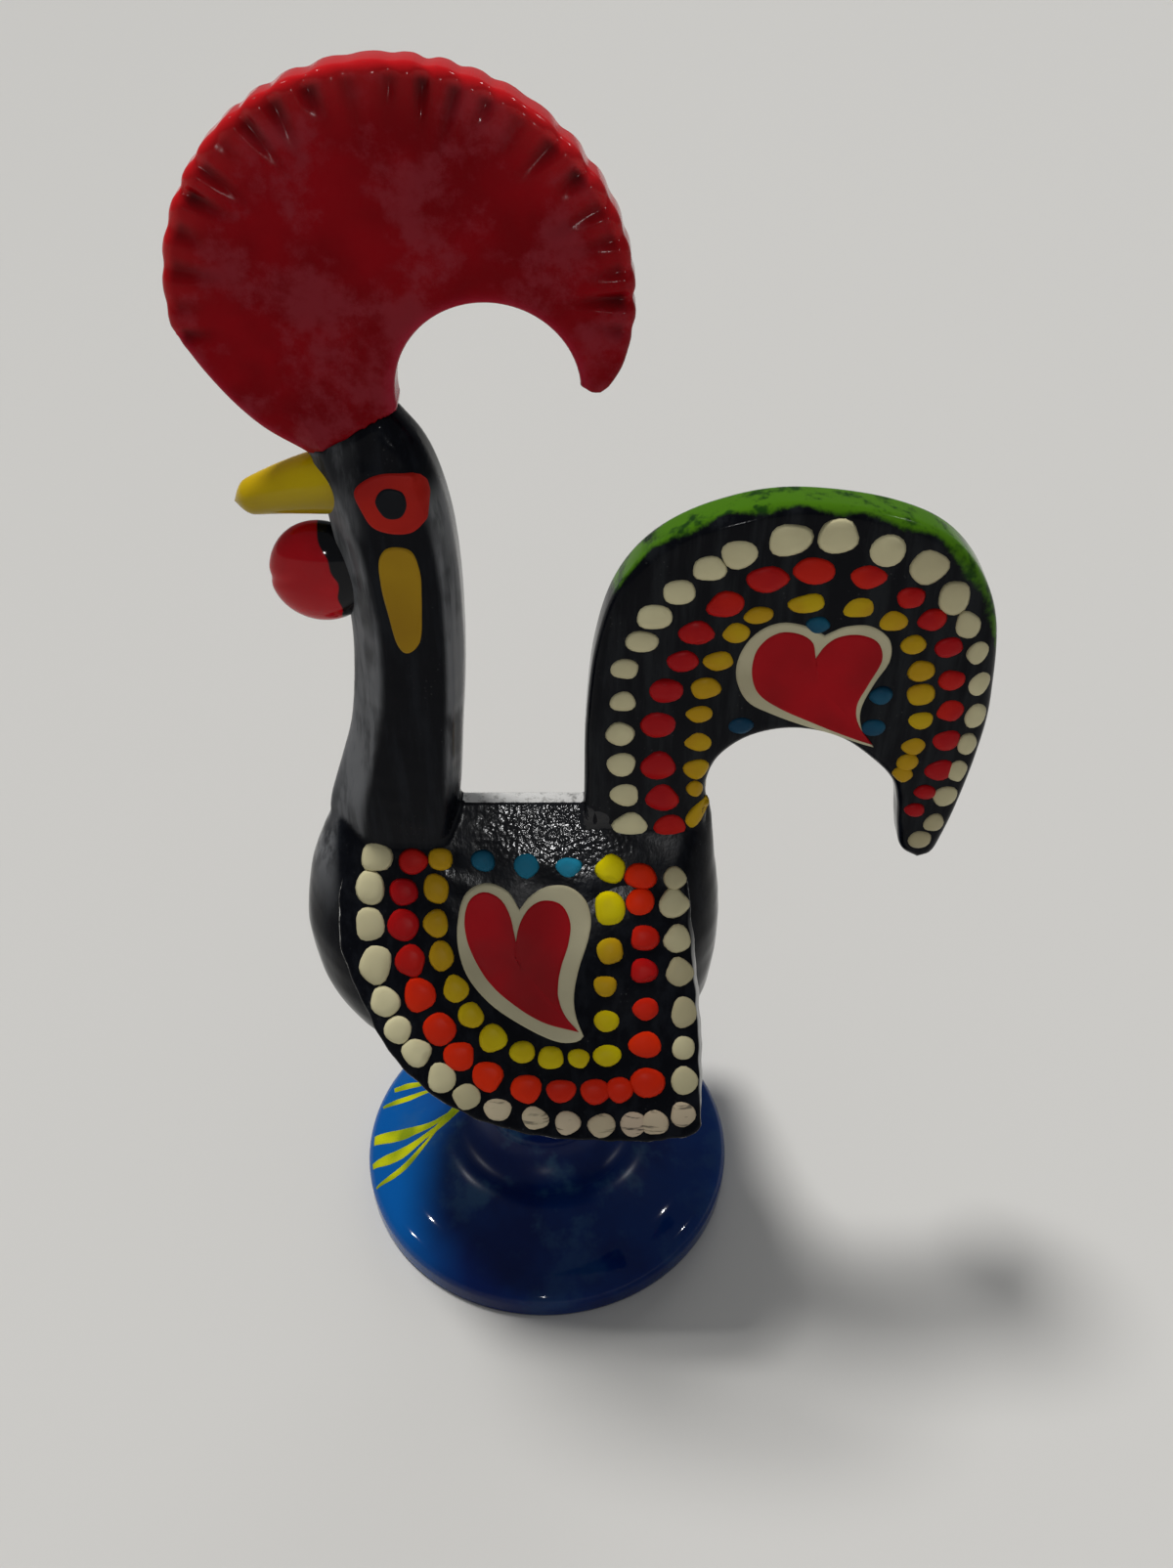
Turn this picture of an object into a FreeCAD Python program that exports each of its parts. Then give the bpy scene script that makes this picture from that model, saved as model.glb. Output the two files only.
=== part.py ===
import FreeCAD, Part
import math
import os

# A painted metal rooster on a round foot, built up from castings.
# The bird looks along -X, its left side is at -Y, and +Z is up.
# The origin is at the middle of the foot's flat underside. All lengths are in millimetres.

os.makedirs("parts", exist_ok=True)
doc = FreeCAD.newDocument("rooster")
sheet = doc.addObject("Spreadsheet::Sheet", "Sizes")

# Sizes
SIZES = (
    # foot
    ("foot_radius", 25.8),
    ("foot_rim_height", 4.4),
    ("foot_rim_round", 1.8),
    ("foot_crown_rise", 4.2),
    ("foot_rim_land", 3.2),
    ("foot_recess_depth", 1.6),
    ("column_radius", 8.0),
    ("column_blend", 6.0),
    ("belly_height", 27.5),
    # fastening from below
    ("screw_radius", 2.0),
    ("screw_grip", 10.5),
    ("screw_head_radius", 3.7),
    ("screw_head_height", 2.4),
    ("screw_slot_width", 1.0),
    ("screw_slot_depth", 1.2),
    ("washer_radius", 4.6),
    ("washer_thickness", 0.8),
    ("counterbore_radius", 5.2),
    ("counterbore_depth", 7.0),
    ("running_clearance", 0.1),
    ("screw_tip_room", 2.0),
    # how far a cutting shape passes the surface it opens
    ("cut_overrun", 30.0),
    # trunk
    ("ridge_height", 70.5),
    ("ridge_half_width", 0.8),
    ("flare_angle", 31.0),
    ("chest_reach", 28.3),
    ("rump_reach", 21.9),
    ("belly_half_width", 12.6),
    # neck and head
    ("neck_half_thickness", 4.3),
    ("neck_front", 18.7),
    ("neck_rear", 7.0),
    ("neck_edge_round", 2.0),
    ("neck_rise", 49.5),
    ("crown_drop", 4.8),
    ("crown_run", 8.8),
    ("brow_overhang", 1.8),
    # comb
    ("comb_half_width", 20.5),
    ("comb_half_height", 19.8),
    ("comb_centre_shift", 1.1),
    ("comb_centre_rise", 9.5),
    ("comb_thickness", 3.8),
    ("comb_edge_bevel", 0.6),
    ("comb_front_angle", 196.0),
    ("comb_hook_angle", -8.0),
    ("scallop_count", 23),
    ("scallop_depth", 0.35),
    ("hook_radius", 8.5),
    ("hook_centre_shift", 8.4),
    ("hook_centre_rise", 1.2),
    ("comb_tenon_thickness", 2.4),
    ("comb_tenon_length", 5.0),
    ("comb_tenon_depth", 4.5),
    # beak and wattle
    ("beak_root_radius", 3.4),
    ("beak_tip_radius", 1.3),
    ("beak_length", 10.7),
    ("beak_droop", 12.5),
    ("beak_root_inset", 2.3),
    ("beak_root_drop", 3.7),
    ("wattle_half_width", 5.4),
    ("wattle_half_height", 5.9),
    ("wattle_half_thickness", 2.9),
    ("wattle_centre_overhang", 0.6),
    ("wattle_centre_drop", 14.1),
    # tail
    ("tail_thickness", 5.0),
    ("tail_edge_round", 1.3),
    ("tail_front_reach", 5.4),
    ("tail_rear_reach", 49.2),
    ("tail_rise", 42.2),
    ("tail_tip_drop", 5.2),
    ("tail_stem_width", 14.2),
    ("tail_arch_rise", 14.2),
    ("tail_tenon_thickness", 2.6),
    ("tail_tenon_length", 10.0),
    ("tail_tenon_depth", 7.0),
    # wings
    ("wing_thickness", 2.2),
    ("wing_top", 6.2),
    ("wing_bottom", 41.5),
    ("wing_front_reach", 23.3),
    ("wing_rear_reach", 19.5),
    ("wing_corner_round", 1.6),
    ("wing_edge_round", 0.4),
    ("wing_peg_radius", 1.5),
    ("wing_peg_length", 3.6),
    ("wing_peg_down", 15.0),
    ("wing_peg_spacing", 20.0),
)
for row, (alias, value) in enumerate(SIZES, start=1):
    sheet.set(f"A{row}", alias)
    sheet.set(f"B{row}", str(value))
    sheet.setAlias(f"B{row}", alias)
doc.recompute()


def size(alias):
    """The value of one named size, read back from the sheet."""
    return float(sheet.get(alias))


def bind(feature, **expressions):
    """Tie properties of a feature to cells. A double underscore in a keyword stands for a dot."""
    for name, expression in expressions.items():
        feature.setExpression(name.replace("__", "."), expression)


def vec(x, y, z):
    return FreeCAD.Vector(x, y, z)


# Places that several pieces share
TOUCH = 1e-4
ALONG_X = vec(1, 0, 0)
ALONG_Y = vec(0, 1, 0)
flare = math.radians(size("flare_angle"))
tail_half = size("tail_thickness") / 2
overrun = size("cut_overrun")
DIAGONAL_SHARE = math.sqrt(0.5)
CORNER_SHARE = 1 - DIAGONAL_SHARE


def flank(height):
    """Half width of the roof-shaped back at a height: straight flanks that spread downward."""
    return size("ridge_half_width") + (size("ridge_height") - height) * math.tan(flare)


def height_where_flank_is(half_width):
    """The height at which the flanks are this far from the middle plane."""
    return size("ridge_height") - (half_width - size("ridge_half_width")) / math.tan(flare)


tail_seat_height = height_where_flank_is(tail_half)
sheet.set("D1", "tail_seat_height")
sheet.set("E1", "=ridge_height - (tail_thickness / 2 - ridge_half_width) / tan(flare_angle * 1 deg)")
sheet.setAlias("E1", "tail_seat_height")
sheet.set("D2", "screw_head_level")
sheet.set("E2", "=counterbore_depth - washer_thickness")
sheet.setAlias("E2", "screw_head_level")
sheet.set("D3", "crown_rear_height")
sheet.set("E3", "=ridge_height + neck_rise")
sheet.setAlias("E3", "crown_rear_height")
sheet.set("D4", "crown_front_height")
sheet.set("E4", "=ridge_height + neck_rise - crown_drop")
sheet.setAlias("E4", "crown_front_height")
sheet.set("D5", "crown_front_reach")
sheet.set("E5", "=neck_front + brow_overhang")
sheet.setAlias("E5", "crown_front_reach")
doc.recompute()


# Helpers for bodies and sketches
def origin_plane(body, role):
    """One of a body's own three origin planes, found by its role."""
    return next(item for item in body.Origin.OriginFeatures if item.Role == role)


def sketch_on(body, role, name, geometry, offset=None):
    """A sketch on one of the body's origin planes, holding a closed outline."""
    sketch = body.newObject("Sketcher::SketchObject", name)
    sketch.AttachmentSupport = (origin_plane(body, role), [""])
    sketch.MapMode = "FlatFace"
    if offset is not None:
        sketch.AttachmentOffset = FreeCAD.Placement(offset, FreeCAD.Rotation())
    sketch.addGeometry(geometry, False)
    doc.recompute()
    return sketch


def new_body(label):
    body = doc.addObject("PartDesign::Body", label)
    body.Label = label
    return body


def flat(x, y):
    """A point of a sketch."""
    return vec(x, y, 0)


def line(start, end):
    return Part.LineSegment(start, end)


def arc(start, middle, end):
    return Part.Arc(start, middle, end)


def curve(points, ways=None):
    """A smooth curve through a few points. ways holds its direction at some of them, by number."""
    spline = Part.BSplineCurve()
    if ways is None:
        spline.interpolate(points)
    else:
        tangents = [ways.get(number, flat(1, 0)) for number in range(len(points))]
        flags = [number in ways for number in range(len(points))]
        spline.interpolate(Points=points, Tangents=tangents, TangentFlags=flags)
    return spline


def rectangle(x0, y0, x1, y1):
    corners = [flat(x0, y0), flat(x1, y0), flat(x1, y1), flat(x0, y1)]
    return [line(corners[i], corners[(i + 1) % 4]) for i in range(4)]


def edges_in_planes(shape, axis, levels, keep):
    """Names of the edges that lie whole in one of the planes across an axis and pass a test."""
    names = []
    for number, edge in enumerate(shape.Edges, start=1):
        middle = edge.valueAt((edge.FirstParameter + edge.LastParameter) / 2)
        points = [vertex.Point for vertex in edge.Vertexes] + [middle]
        for level in levels:
            if all(abs(getattr(point, axis) - level) < TOUCH for point in points) and keep(edge):
                names.append(f"Edge{number}")
    return names


def round_edges(body, feature, names, radius_alias):
    """Rounds named edges of the last feature with one radius from the sheet."""
    rounding = body.newObject("PartDesign::Fillet", feature.Name + "_round")
    rounding.Base = (feature, names)
    rounding.Radius = size(radius_alias)
    bind(rounding, Radius="Sizes." + radius_alias)
    doc.recompute()
    return rounding


def bevel_edges(body, feature, names, size_alias):
    """Bevels named edges of the last feature with one size from the sheet."""
    bevel = body.newObject("PartDesign::Chamfer", feature.Name + "_bevel")
    bevel.Base = (feature, names)
    bevel.Size = size(size_alias)
    bind(bevel, Size="Sizes." + size_alias)
    doc.recompute()
    return bevel


def loft(wires):
    return Part.makeLoft(wires, True, False)


# Foot
# One casting turned about Z: rim, low crown, and the column that carries the bird.
def make_foot():
    body = new_body("foot")
    radius = size("foot_radius")
    recess = radius - size("foot_rim_land")
    rim = size("foot_rim_height")
    rounding = size("foot_rim_round")
    column = size("column_radius")
    blend = size("column_blend")
    crown = rim + size("foot_crown_rise")
    top = size("belly_height")
    bore = size("screw_radius") + size("running_clearance")
    well = size("counterbore_radius")
    well_depth = size("counterbore_depth")
    hollow = size("foot_recess_depth")
    shoulder = radius - rounding
    diagonal = rounding * DIAGONAL_SHARE
    blend_diagonal = blend * CORNER_SHARE
    crown_mid_share = 0.5
    crown_bulge_share = 0.62
    crown_edge = column + blend
    mid = shoulder + (crown_edge - shoulder) * crown_mid_share
    bulge = rim + (crown - rim) * crown_bulge_share
    outline = [
        line(flat(recess, 0), flat(radius, 0)),
        line(flat(radius, 0), flat(radius, rim - rounding)),
        arc(
            flat(radius, rim - rounding),
            flat(shoulder + diagonal, rim - rounding + diagonal),
            flat(shoulder, rim),
        ),
        arc(flat(shoulder, rim), flat(mid, bulge), flat(crown_edge, crown)),
        arc(
            flat(crown_edge, crown),
            flat(column + blend_diagonal, crown + blend_diagonal),
            flat(column, crown + blend),
        ),
        line(flat(column, crown + blend), flat(column, top)),
        line(flat(column, top), flat(bore, top)),
        line(flat(bore, top), flat(bore, well_depth)),
        line(flat(bore, well_depth), flat(well, well_depth)),
        line(flat(well, well_depth), flat(well, hollow)),
        line(flat(well, hollow), flat(recess, hollow)),
        line(flat(recess, hollow), flat(recess, 0)),
    ]
    profile = sketch_on(body, "XZ_Plane", "foot_profile", outline)
    turned = body.newObject("PartDesign::Revolution", "foot_turned")
    turned.Profile = profile
    turned.ReferenceAxis = (profile, ["V_Axis"])
    turned.Angle = 360
    doc.recompute()
    return body


# Screw and washer
def make_washer():
    disc = doc.addObject("Part::Cylinder", "washer_disc")
    bind(disc, Radius="Sizes.washer_radius", Height="Sizes.washer_thickness")
    hole = doc.addObject("Part::Cylinder", "washer_hole")
    bind(hole, Radius="Sizes.screw_radius + Sizes.running_clearance", Height="Sizes.washer_thickness")
    ring = doc.addObject("Part::Cut", "washer")
    ring.Base = disc
    ring.Tool = hole
    ring.Label = "washer"
    bind(ring, Placement__Base__z="Sizes.screw_head_level")
    return ring


def make_screw():
    head = doc.addObject("Part::Cylinder", "screw_head")
    bind(
        head,
        Radius="Sizes.screw_head_radius",
        Height="Sizes.screw_head_height",
        Placement__Base__z="-Sizes.screw_head_height",
    )
    shank = doc.addObject("Part::Cylinder", "screw_shank")
    bind(
        shank,
        Radius="Sizes.screw_radius",
        Height="Sizes.belly_height - Sizes.screw_head_level + Sizes.screw_grip",
    )
    blank = doc.addObject("Part::Fuse", "screw_blank")
    blank.Base = head
    blank.Tool = shank
    slot = doc.addObject("Part::Box", "screw_slot")
    bind(
        slot,
        Length="2 * Sizes.screw_head_radius",
        Width="Sizes.screw_slot_width",
        Height="Sizes.screw_slot_depth",
        Placement__Base__x="-Sizes.screw_head_radius",
        Placement__Base__y="-Sizes.screw_slot_width / 2",
        Placement__Base__z="-Sizes.screw_head_height",
    )
    screw = doc.addObject("Part::Cut", "screw")
    screw.Base = blank
    screw.Tool = slot
    screw.Label = "screw"
    bind(screw, Placement__Base__z="Sizes.screw_head_level")
    return screw


# Wings
# A wing is drawn flat: X as on the bird, Y down the slope from the ridge, the outer face at zero.
def wing_outline():
    front = -size("wing_front_reach")
    rear = size("wing_rear_reach")
    top = size("wing_top")
    bottom = size("wing_bottom")
    corner = size("wing_corner_round")
    drop = bottom - top
    front_shares = (
        (0.974, 0.0),
        (1.0, 0.22),
        (0.979, 0.357),
        (0.858, 0.561),
        (0.747, 0.70),
        (0.554, 0.838),
        (0.356, 0.915),
        (0.159, 0.961),
    )
    sweep = [flat(front * reach, top + drop * down) for reach, down in front_shares]
    middle_drop_share = 0.984
    hem_start_share = 0.53
    rear_shares = (
        (0.99, 0.612),
        (0.928, 0.303),
        (0.877, 0.0),
    )
    hem_middle = flat(0, top + drop * middle_drop_share)
    hem_start = flat(rear * hem_start_share, bottom)
    hem_end = flat(rear - corner, bottom)
    corner_middle = flat(rear - corner * CORNER_SHARE, bottom - corner * CORNER_SHARE)
    rear_low = flat(rear, bottom - corner)
    front_points = sweep + [hem_middle, hem_start]
    back_points = [rear_low] + [flat(rear * reach, top + drop * down) for reach, down in rear_shares]
    along_hem = flat(1, 0)
    up_the_back = flat(0, -1)
    return [
        curve(front_points, {len(front_points) - 1: along_hem}),
        line(hem_start, hem_end),
        arc(hem_end, corner_middle, rear_low),
        curve(back_points, {0: up_the_back}),
        line(back_points[-1], front_points[0]),
    ]


def make_wing(label, side):
    """side is -1 for the left wing and 1 for the right one."""
    body = new_body(label)
    outline = sketch_on(body, "XY_Plane", label + "_outline", wing_outline())
    plate = body.newObject("PartDesign::Pad", label + "_plate")
    plate.Profile = outline
    plate.Reversed = side > 0
    bind(plate, Length="Sizes.wing_thickness")
    doc.recompute()

    def below_top(edge):
        return edge.CenterOfMass.y > size("wing_top") + TOUCH

    round_edges(body, plate, edges_in_planes(plate.Shape, "z", [0.0], below_top), "wing_edge_round")
    half_spacing = size("wing_peg_spacing") / 2
    pegs = [
        Part.Circle(flat(x, size("wing_peg_down")), vec(0, 0, 1), size("wing_peg_radius"))
        for x in (-half_spacing, half_spacing)
    ]
    inward = -side * size("wing_thickness")
    peg_sketch = sketch_on(body, "XY_Plane", label + "_peg_circles", pegs, vec(0, 0, inward))
    bind(peg_sketch, AttachmentOffset__Base__z=f"{-side} * Sizes.wing_thickness")
    peg_pad = body.newObject("PartDesign::Pad", label + "_pegs")
    peg_pad.Profile = peg_sketch
    peg_pad.Reversed = side > 0
    bind(peg_pad, Length="Sizes.wing_peg_length")
    doc.recompute()
    body.Tip = peg_pad
    body.Placement.Rotation = FreeCAD.Rotation(ALONG_X, -(90 - side * size("flare_angle")))
    bind(
        body,
        Placement__Rotation__Angle=f"-(90 - ({side}) * Sizes.flare_angle)",
        Placement__Base__y=f"({side}) * Sizes.ridge_half_width",
        Placement__Base__z="Sizes.ridge_height",
    )
    doc.recompute()
    return body


# Tail
def tail_outline():
    """The arch with its drooping tip, in X and Z. The stem stands on the seat of the back."""
    front = size("tail_front_reach")
    rear = size("tail_rear_reach")
    seat = tail_seat_height
    rise = size("tail_rise")
    span = rear - front
    stem_rear = front + size("tail_stem_width")
    arch = size("tail_arch_rise")
    drop = size("tail_tip_drop")
    outer_shares = (
        (0.0, 0.14),
        (0.005, 0.35),
        (0.025, 0.58),
        (0.072, 0.76),
        (0.162, 0.884),
        (0.299, 0.965),
        (0.473, 1.0),
        (0.70, 0.968),
        (0.85, 0.875),
        (0.955, 0.70),
        (1.0, 0.43),
        (0.985, 0.20),
        (0.945, 0.0),
    )
    outer = [flat(front + span * along, seat + rise * up) for along, up in outer_shares]
    tip_shares = (
        (0.93, 0.88),
        (0.886, 1.0),
        (0.845, 0.6),
    )
    droop = [flat(front + span * along, seat - drop * down) for along, down in tip_shares]
    inner_shares = (
        (0.818, 0.24),
        (0.792, 0.465),
        (0.735, 0.68),
        (0.64, 0.91),
        (0.525, 1.0),
        (0.42, 0.93),
        (0.345, 0.73),
        (0.315, 0.46),
        (0.32, 0.22),
    )
    inner = [flat(front + span * along, seat + arch * up) for along, up in inner_shares]
    foot_front = flat(front, seat)
    foot_rear = flat(stem_rear, seat)
    return [
        curve([foot_front] + outer + droop + inner + [foot_rear]),
        line(foot_rear, foot_front),
    ]


def symmetric_pad(body, name, profile, alias):
    """A pad that grows alike to both sides of the middle plane."""
    pad = body.newObject("PartDesign::Pad", name)
    pad.Profile = profile
    pad.SideType = "Symmetric"
    bind(pad, Length="Sizes." + alias)
    doc.recompute()
    return pad


def make_tail():
    body = new_body("tail")
    profile = sketch_on(body, "XZ_Plane", "tail_outline", tail_outline())
    plate = symmetric_pad(body, "tail_plate", profile, "tail_thickness")

    def above_seat(edge):
        return edge.CenterOfMass.z > tail_seat_height + TOUCH

    names = edges_in_planes(plate.Shape, "y", [-tail_half, tail_half], above_seat)
    round_edges(body, plate, names, "tail_edge_round")
    middle = size("tail_front_reach") + size("tail_stem_width") / 2
    half = size("tail_tenon_length") / 2
    tenon_outline = rectangle(
        middle - half, tail_seat_height - size("tail_tenon_depth"), middle + half, tail_seat_height
    )
    tenon_sketch = sketch_on(body, "XZ_Plane", "tail_tenon_outline", tenon_outline)
    symmetric_pad(body, "tail_tenon", tenon_sketch, "tail_tenon_thickness")
    return body


# Comb
crown_front = vec(-size("crown_front_reach"), 0, size("crown_front_height"))
crown_rear = vec(size("crown_run") - size("crown_front_reach"), 0, size("crown_rear_height"))
crown_along = (crown_rear - crown_front).normalize()
crown_out = vec(-crown_along.z, 0, crown_along.x)
crown_middle = (crown_front + crown_rear) * 0.5
crown_angle = math.degrees(math.atan2(crown_along.z, crown_along.x))


def on_sketch(point):
    """A point of the middle plane, as the sketch in that plane holds it."""
    return flat(point.x, point.z)


def comb_rim(rise, degrees):
    """A point of the comb's oval rim, raised from it by the crest of a scallop."""
    angle = math.radians(degrees)
    return flat(
        crown_rear.x + size("comb_centre_shift") + (size("comb_half_width") + rise) * math.cos(angle),
        crown_rear.z + size("comb_centre_rise") + (size("comb_half_height") + rise) * math.sin(angle),
    )


def comb_outline():
    """A scalloped fan over the crown that ends in a hook behind the head."""
    count = int(size("scallop_count"))
    start_degrees = size("comb_front_angle")
    end_degrees = size("comb_hook_angle")
    pitch = (end_degrees - start_degrees) / count
    scallops = []
    for number in range(count):
        here = start_degrees + pitch * number
        scallops.append(
            arc(
                comb_rim(0, here),
                comb_rim(size("scallop_depth"), here + pitch / 2),
                comb_rim(0, here + pitch),
            )
        )
    rim_start = comb_rim(0, start_degrees)
    rim_end = comb_rim(0, end_degrees)
    throat = size("hook_radius")
    throat_x = crown_rear.x + size("hook_centre_shift")
    throat_z = crown_rear.z + size("hook_centre_rise")
    throat_top = flat(throat_x, throat_z + throat)
    hook_shares = (
        # from the hook's centre, in throat radii
        (1.45, 0.32),
        (1.31, 0.10),
        (1.12, 0.0),
        (1.0, 0.08),
    )
    hook = [flat(throat_x + throat * out, throat_z + throat * up) for out, up in hook_shares]
    root_front = on_sketch(crown_front)
    root_rear = on_sketch(crown_rear)
    brow_shares = (
        # from the front of the crown to the start of the rim
        (0.37, 0.31),
        (0.685, 0.64),
    )
    brow = [
        flat(
            root_front.x + (rim_start.x - root_front.x) * out,
            root_front.y + (rim_start.y - root_front.y) * up,
        )
        for out, up in brow_shares
    ]
    return scallops + [
        curve([rim_end] + hook),
        arc(hook[-1], throat_top, root_rear),
        line(root_rear, root_front),
        curve([root_front] + brow + [rim_start]),
    ]


def make_comb():
    body = new_body("comb")
    profile = sketch_on(body, "XZ_Plane", "comb_outline", comb_outline())
    plate = symmetric_pad(body, "comb_plate", profile, "comb_thickness")
    half = size("comb_thickness") / 2

    def off_the_crown(edge):
        return abs((edge.CenterOfMass - crown_middle).dot(crown_out)) > TOUCH

    names = edges_in_planes(plate.Shape, "y", [-half, half], off_the_crown)
    bevel_edges(body, plate, names, "comb_edge_bevel")
    reach = crown_along * (size("comb_tenon_length") / 2)
    depth = crown_out * size("comb_tenon_depth")
    corners = [
        on_sketch(crown_middle - reach),
        on_sketch(crown_middle + reach),
        on_sketch(crown_middle + reach - depth),
        on_sketch(crown_middle - reach - depth),
    ]
    sides = [line(corners[i], corners[(i + 1) % 4]) for i in range(4)]
    tenon_sketch = sketch_on(body, "XZ_Plane", "comb_tenon_outline", sides)
    symmetric_pad(body, "comb_tenon", tenon_sketch, "comb_tenon_thickness")
    return body


# Beak and wattle
def make_beak():
    cone = doc.addObject("Part::Cone", "beak_cone")
    bind(
        cone,
        Radius1="Sizes.beak_root_radius",
        Radius2="Sizes.beak_tip_radius",
        Height="Sizes.beak_length - Sizes.beak_tip_radius",
    )
    tip = doc.addObject("Part::Sphere", "beak_tip")
    bind(
        tip,
        Radius="Sizes.beak_tip_radius",
        Placement__Base__z="Sizes.beak_length - Sizes.beak_tip_radius",
    )
    beak = doc.addObject("Part::Fuse", "beak")
    beak.Base = cone
    beak.Tool = tip
    beak.Label = "beak"
    beak.Placement.Rotation = FreeCAD.Rotation(ALONG_Y, -(90 + size("beak_droop")))
    bind(
        beak,
        Placement__Rotation__Angle="-(90 + Sizes.beak_droop)",
        Placement__Base__x="Sizes.beak_root_inset - Sizes.crown_front_reach",
        Placement__Base__z="Sizes.crown_front_height - Sizes.beak_root_drop",
    )
    return beak


def make_wattle():
    wattle = doc.addObject("Part::Ellipsoid", "wattle")
    wattle.Label = "wattle"
    wattle.Angle1 = -90
    wattle.Angle2 = 90
    wattle.Angle3 = 360
    bind(
        wattle,
        Radius1="Sizes.wattle_half_height",
        Radius2="Sizes.wattle_half_width",
        Radius3="Sizes.wattle_half_thickness",
        Placement__Base__x="-Sizes.crown_front_reach - Sizes.wattle_centre_overhang",
        Placement__Base__z="Sizes.crown_front_height - Sizes.wattle_centre_drop",
    )
    return wattle


# Body
# The trunk is lofted through level outlines, each with straight flanks and rounded ends.
FLANK_INSET_SHARE = 0.18
FULLEST_SHARE = 0.99
TRUNK_SHARES = (
    # level from belly to ridge, chest reach, rump reach, half width of the belly
    (0.0, 0.336, 0.388, 0.62),
    (0.06, 0.50, 0.56, 0.71),
    (0.13, 0.66, 0.70, 0.80),
    (0.22, 0.805, 0.868, 0.90),
    (0.31, 0.905, 0.955, 0.97),
    (0.41, 0.968, 0.99, 1.0),
    (0.50, 0.993, 1.0, 0.965),
    (0.60, 1.0, 1.0, None),
    (0.70, 0.979, 0.98, None),
    (0.80, 0.94, 0.955, None),
    (0.90, 0.885, 0.93, None),
    (1.0, 0.813, 0.905, None),
)
NECK_SHARES = (
    # level of the neck's rise from the ridge, neck front, neck rear, half thickness
    (-0.285, 1.18, 1.50, 0.75),
    (-0.164, 1.225, 1.43, 0.80),
    (-0.091, 1.255, 1.36, 0.84),
    (-0.011, 1.235, 1.30, 0.88),
    (0.055, 1.18, 1.27, 0.92),
    (0.115, 1.128, 1.24, 0.94),
    (0.193, 1.07, 1.185, 0.97),
    (0.321, 1.013, 1.09, 1.0),
    (0.467, 1.0, 1.015, 1.0),
    (0.612, 1.013, 1.0, 1.0),
    (0.758, 1.04, 1.08, 1.02),
    (0.842, 1.07, 1.23, 0.92),
    (0.915, 1.10, 1.46, 0.72),
    (0.964, 1.12, 1.65, 0.58),
    (1.024, 1.13, 1.93, 0.47),
)


def stadium(front, rear, half, height):
    """A level outline with straight sides along X and half round ends."""
    return Part.Wire([
        Part.LineSegment(vec(front + half, -half, height), vec(rear - half, -half, height)).toShape(),
        Part.Arc(
            vec(rear - half, -half, height), vec(rear, 0, height), vec(rear - half, half, height)
        ).toShape(),
        Part.LineSegment(vec(rear - half, half, height), vec(front + half, half, height)).toShape(),
        Part.Arc(
            vec(front + half, half, height), vec(front, 0, height), vec(front + half, -half, height)
        ).toShape(),
    ])


def rounded_box(front, rear, half, corner, height):
    """A level outline of the neck: a rectangle with four round corners."""
    diagonal = corner * CORNER_SHARE
    x0, x1 = front, rear
    y0, y1 = -half, half
    inner_x0, inner_x1 = x0 + corner, x1 - corner
    inner_y0, inner_y1 = y0 + corner, y1 - corner
    pieces = [
        Part.LineSegment(vec(inner_x0, y0, height), vec(inner_x1, y0, height)),
        Part.Arc(
            vec(inner_x1, y0, height), vec(x1 - diagonal, y0 + diagonal, height), vec(x1, inner_y0, height)
        ),
        Part.LineSegment(vec(x1, inner_y0, height), vec(x1, inner_y1, height)),
        Part.Arc(
            vec(x1, inner_y1, height), vec(x1 - diagonal, y1 - diagonal, height), vec(inner_x1, y1, height)
        ),
        Part.LineSegment(vec(inner_x1, y1, height), vec(inner_x0, y1, height)),
        Part.Arc(
            vec(inner_x0, y1, height), vec(x0 + diagonal, y1 - diagonal, height), vec(x0, inner_y1, height)
        ),
        Part.LineSegment(vec(x0, inner_y1, height), vec(x0, inner_y0, height)),
        Part.Arc(
            vec(x0, inner_y0, height), vec(x0 + diagonal, y0 + diagonal, height), vec(inner_x0, y0, height)
        ),
    ]
    return Part.Wire([piece.toShape() for piece in pieces])


def trunk_shape():
    belly = size("belly_height")
    rise = size("ridge_height") - belly
    inset = size("ridge_half_width") * FLANK_INSET_SHARE
    wires = []
    for level, chest, rump, width in TRUNK_SHARES:
        height = belly + rise * level
        front = -size("chest_reach") * chest
        rear = size("rump_reach") * rump
        half = flank(height) - inset if width is None else size("belly_half_width") * width
        half = min(half, (rear - front) / 2 * FULLEST_SHARE)
        wires.append(stadium(front, rear, half, height))
    return loft(wires)


def neck_shape():
    wires = []
    for level, front, rear, thickness in NECK_SHARES:
        half = size("neck_half_thickness") * thickness
        wires.append(
            rounded_box(
                -size("neck_front") * front,
                -size("neck_rear") * rear,
                half,
                min(size("neck_edge_round"), half * FULLEST_SHARE),
                size("ridge_height") + size("neck_rise") * level,
            )
        )
    return loft(wires)


def plain_shape(label, shape, placement=None):
    feature = doc.addObject("Part::Feature", label)
    feature.Label = label
    feature.Shape = shape
    if placement is not None:
        feature.Placement = placement
    return feature


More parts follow.
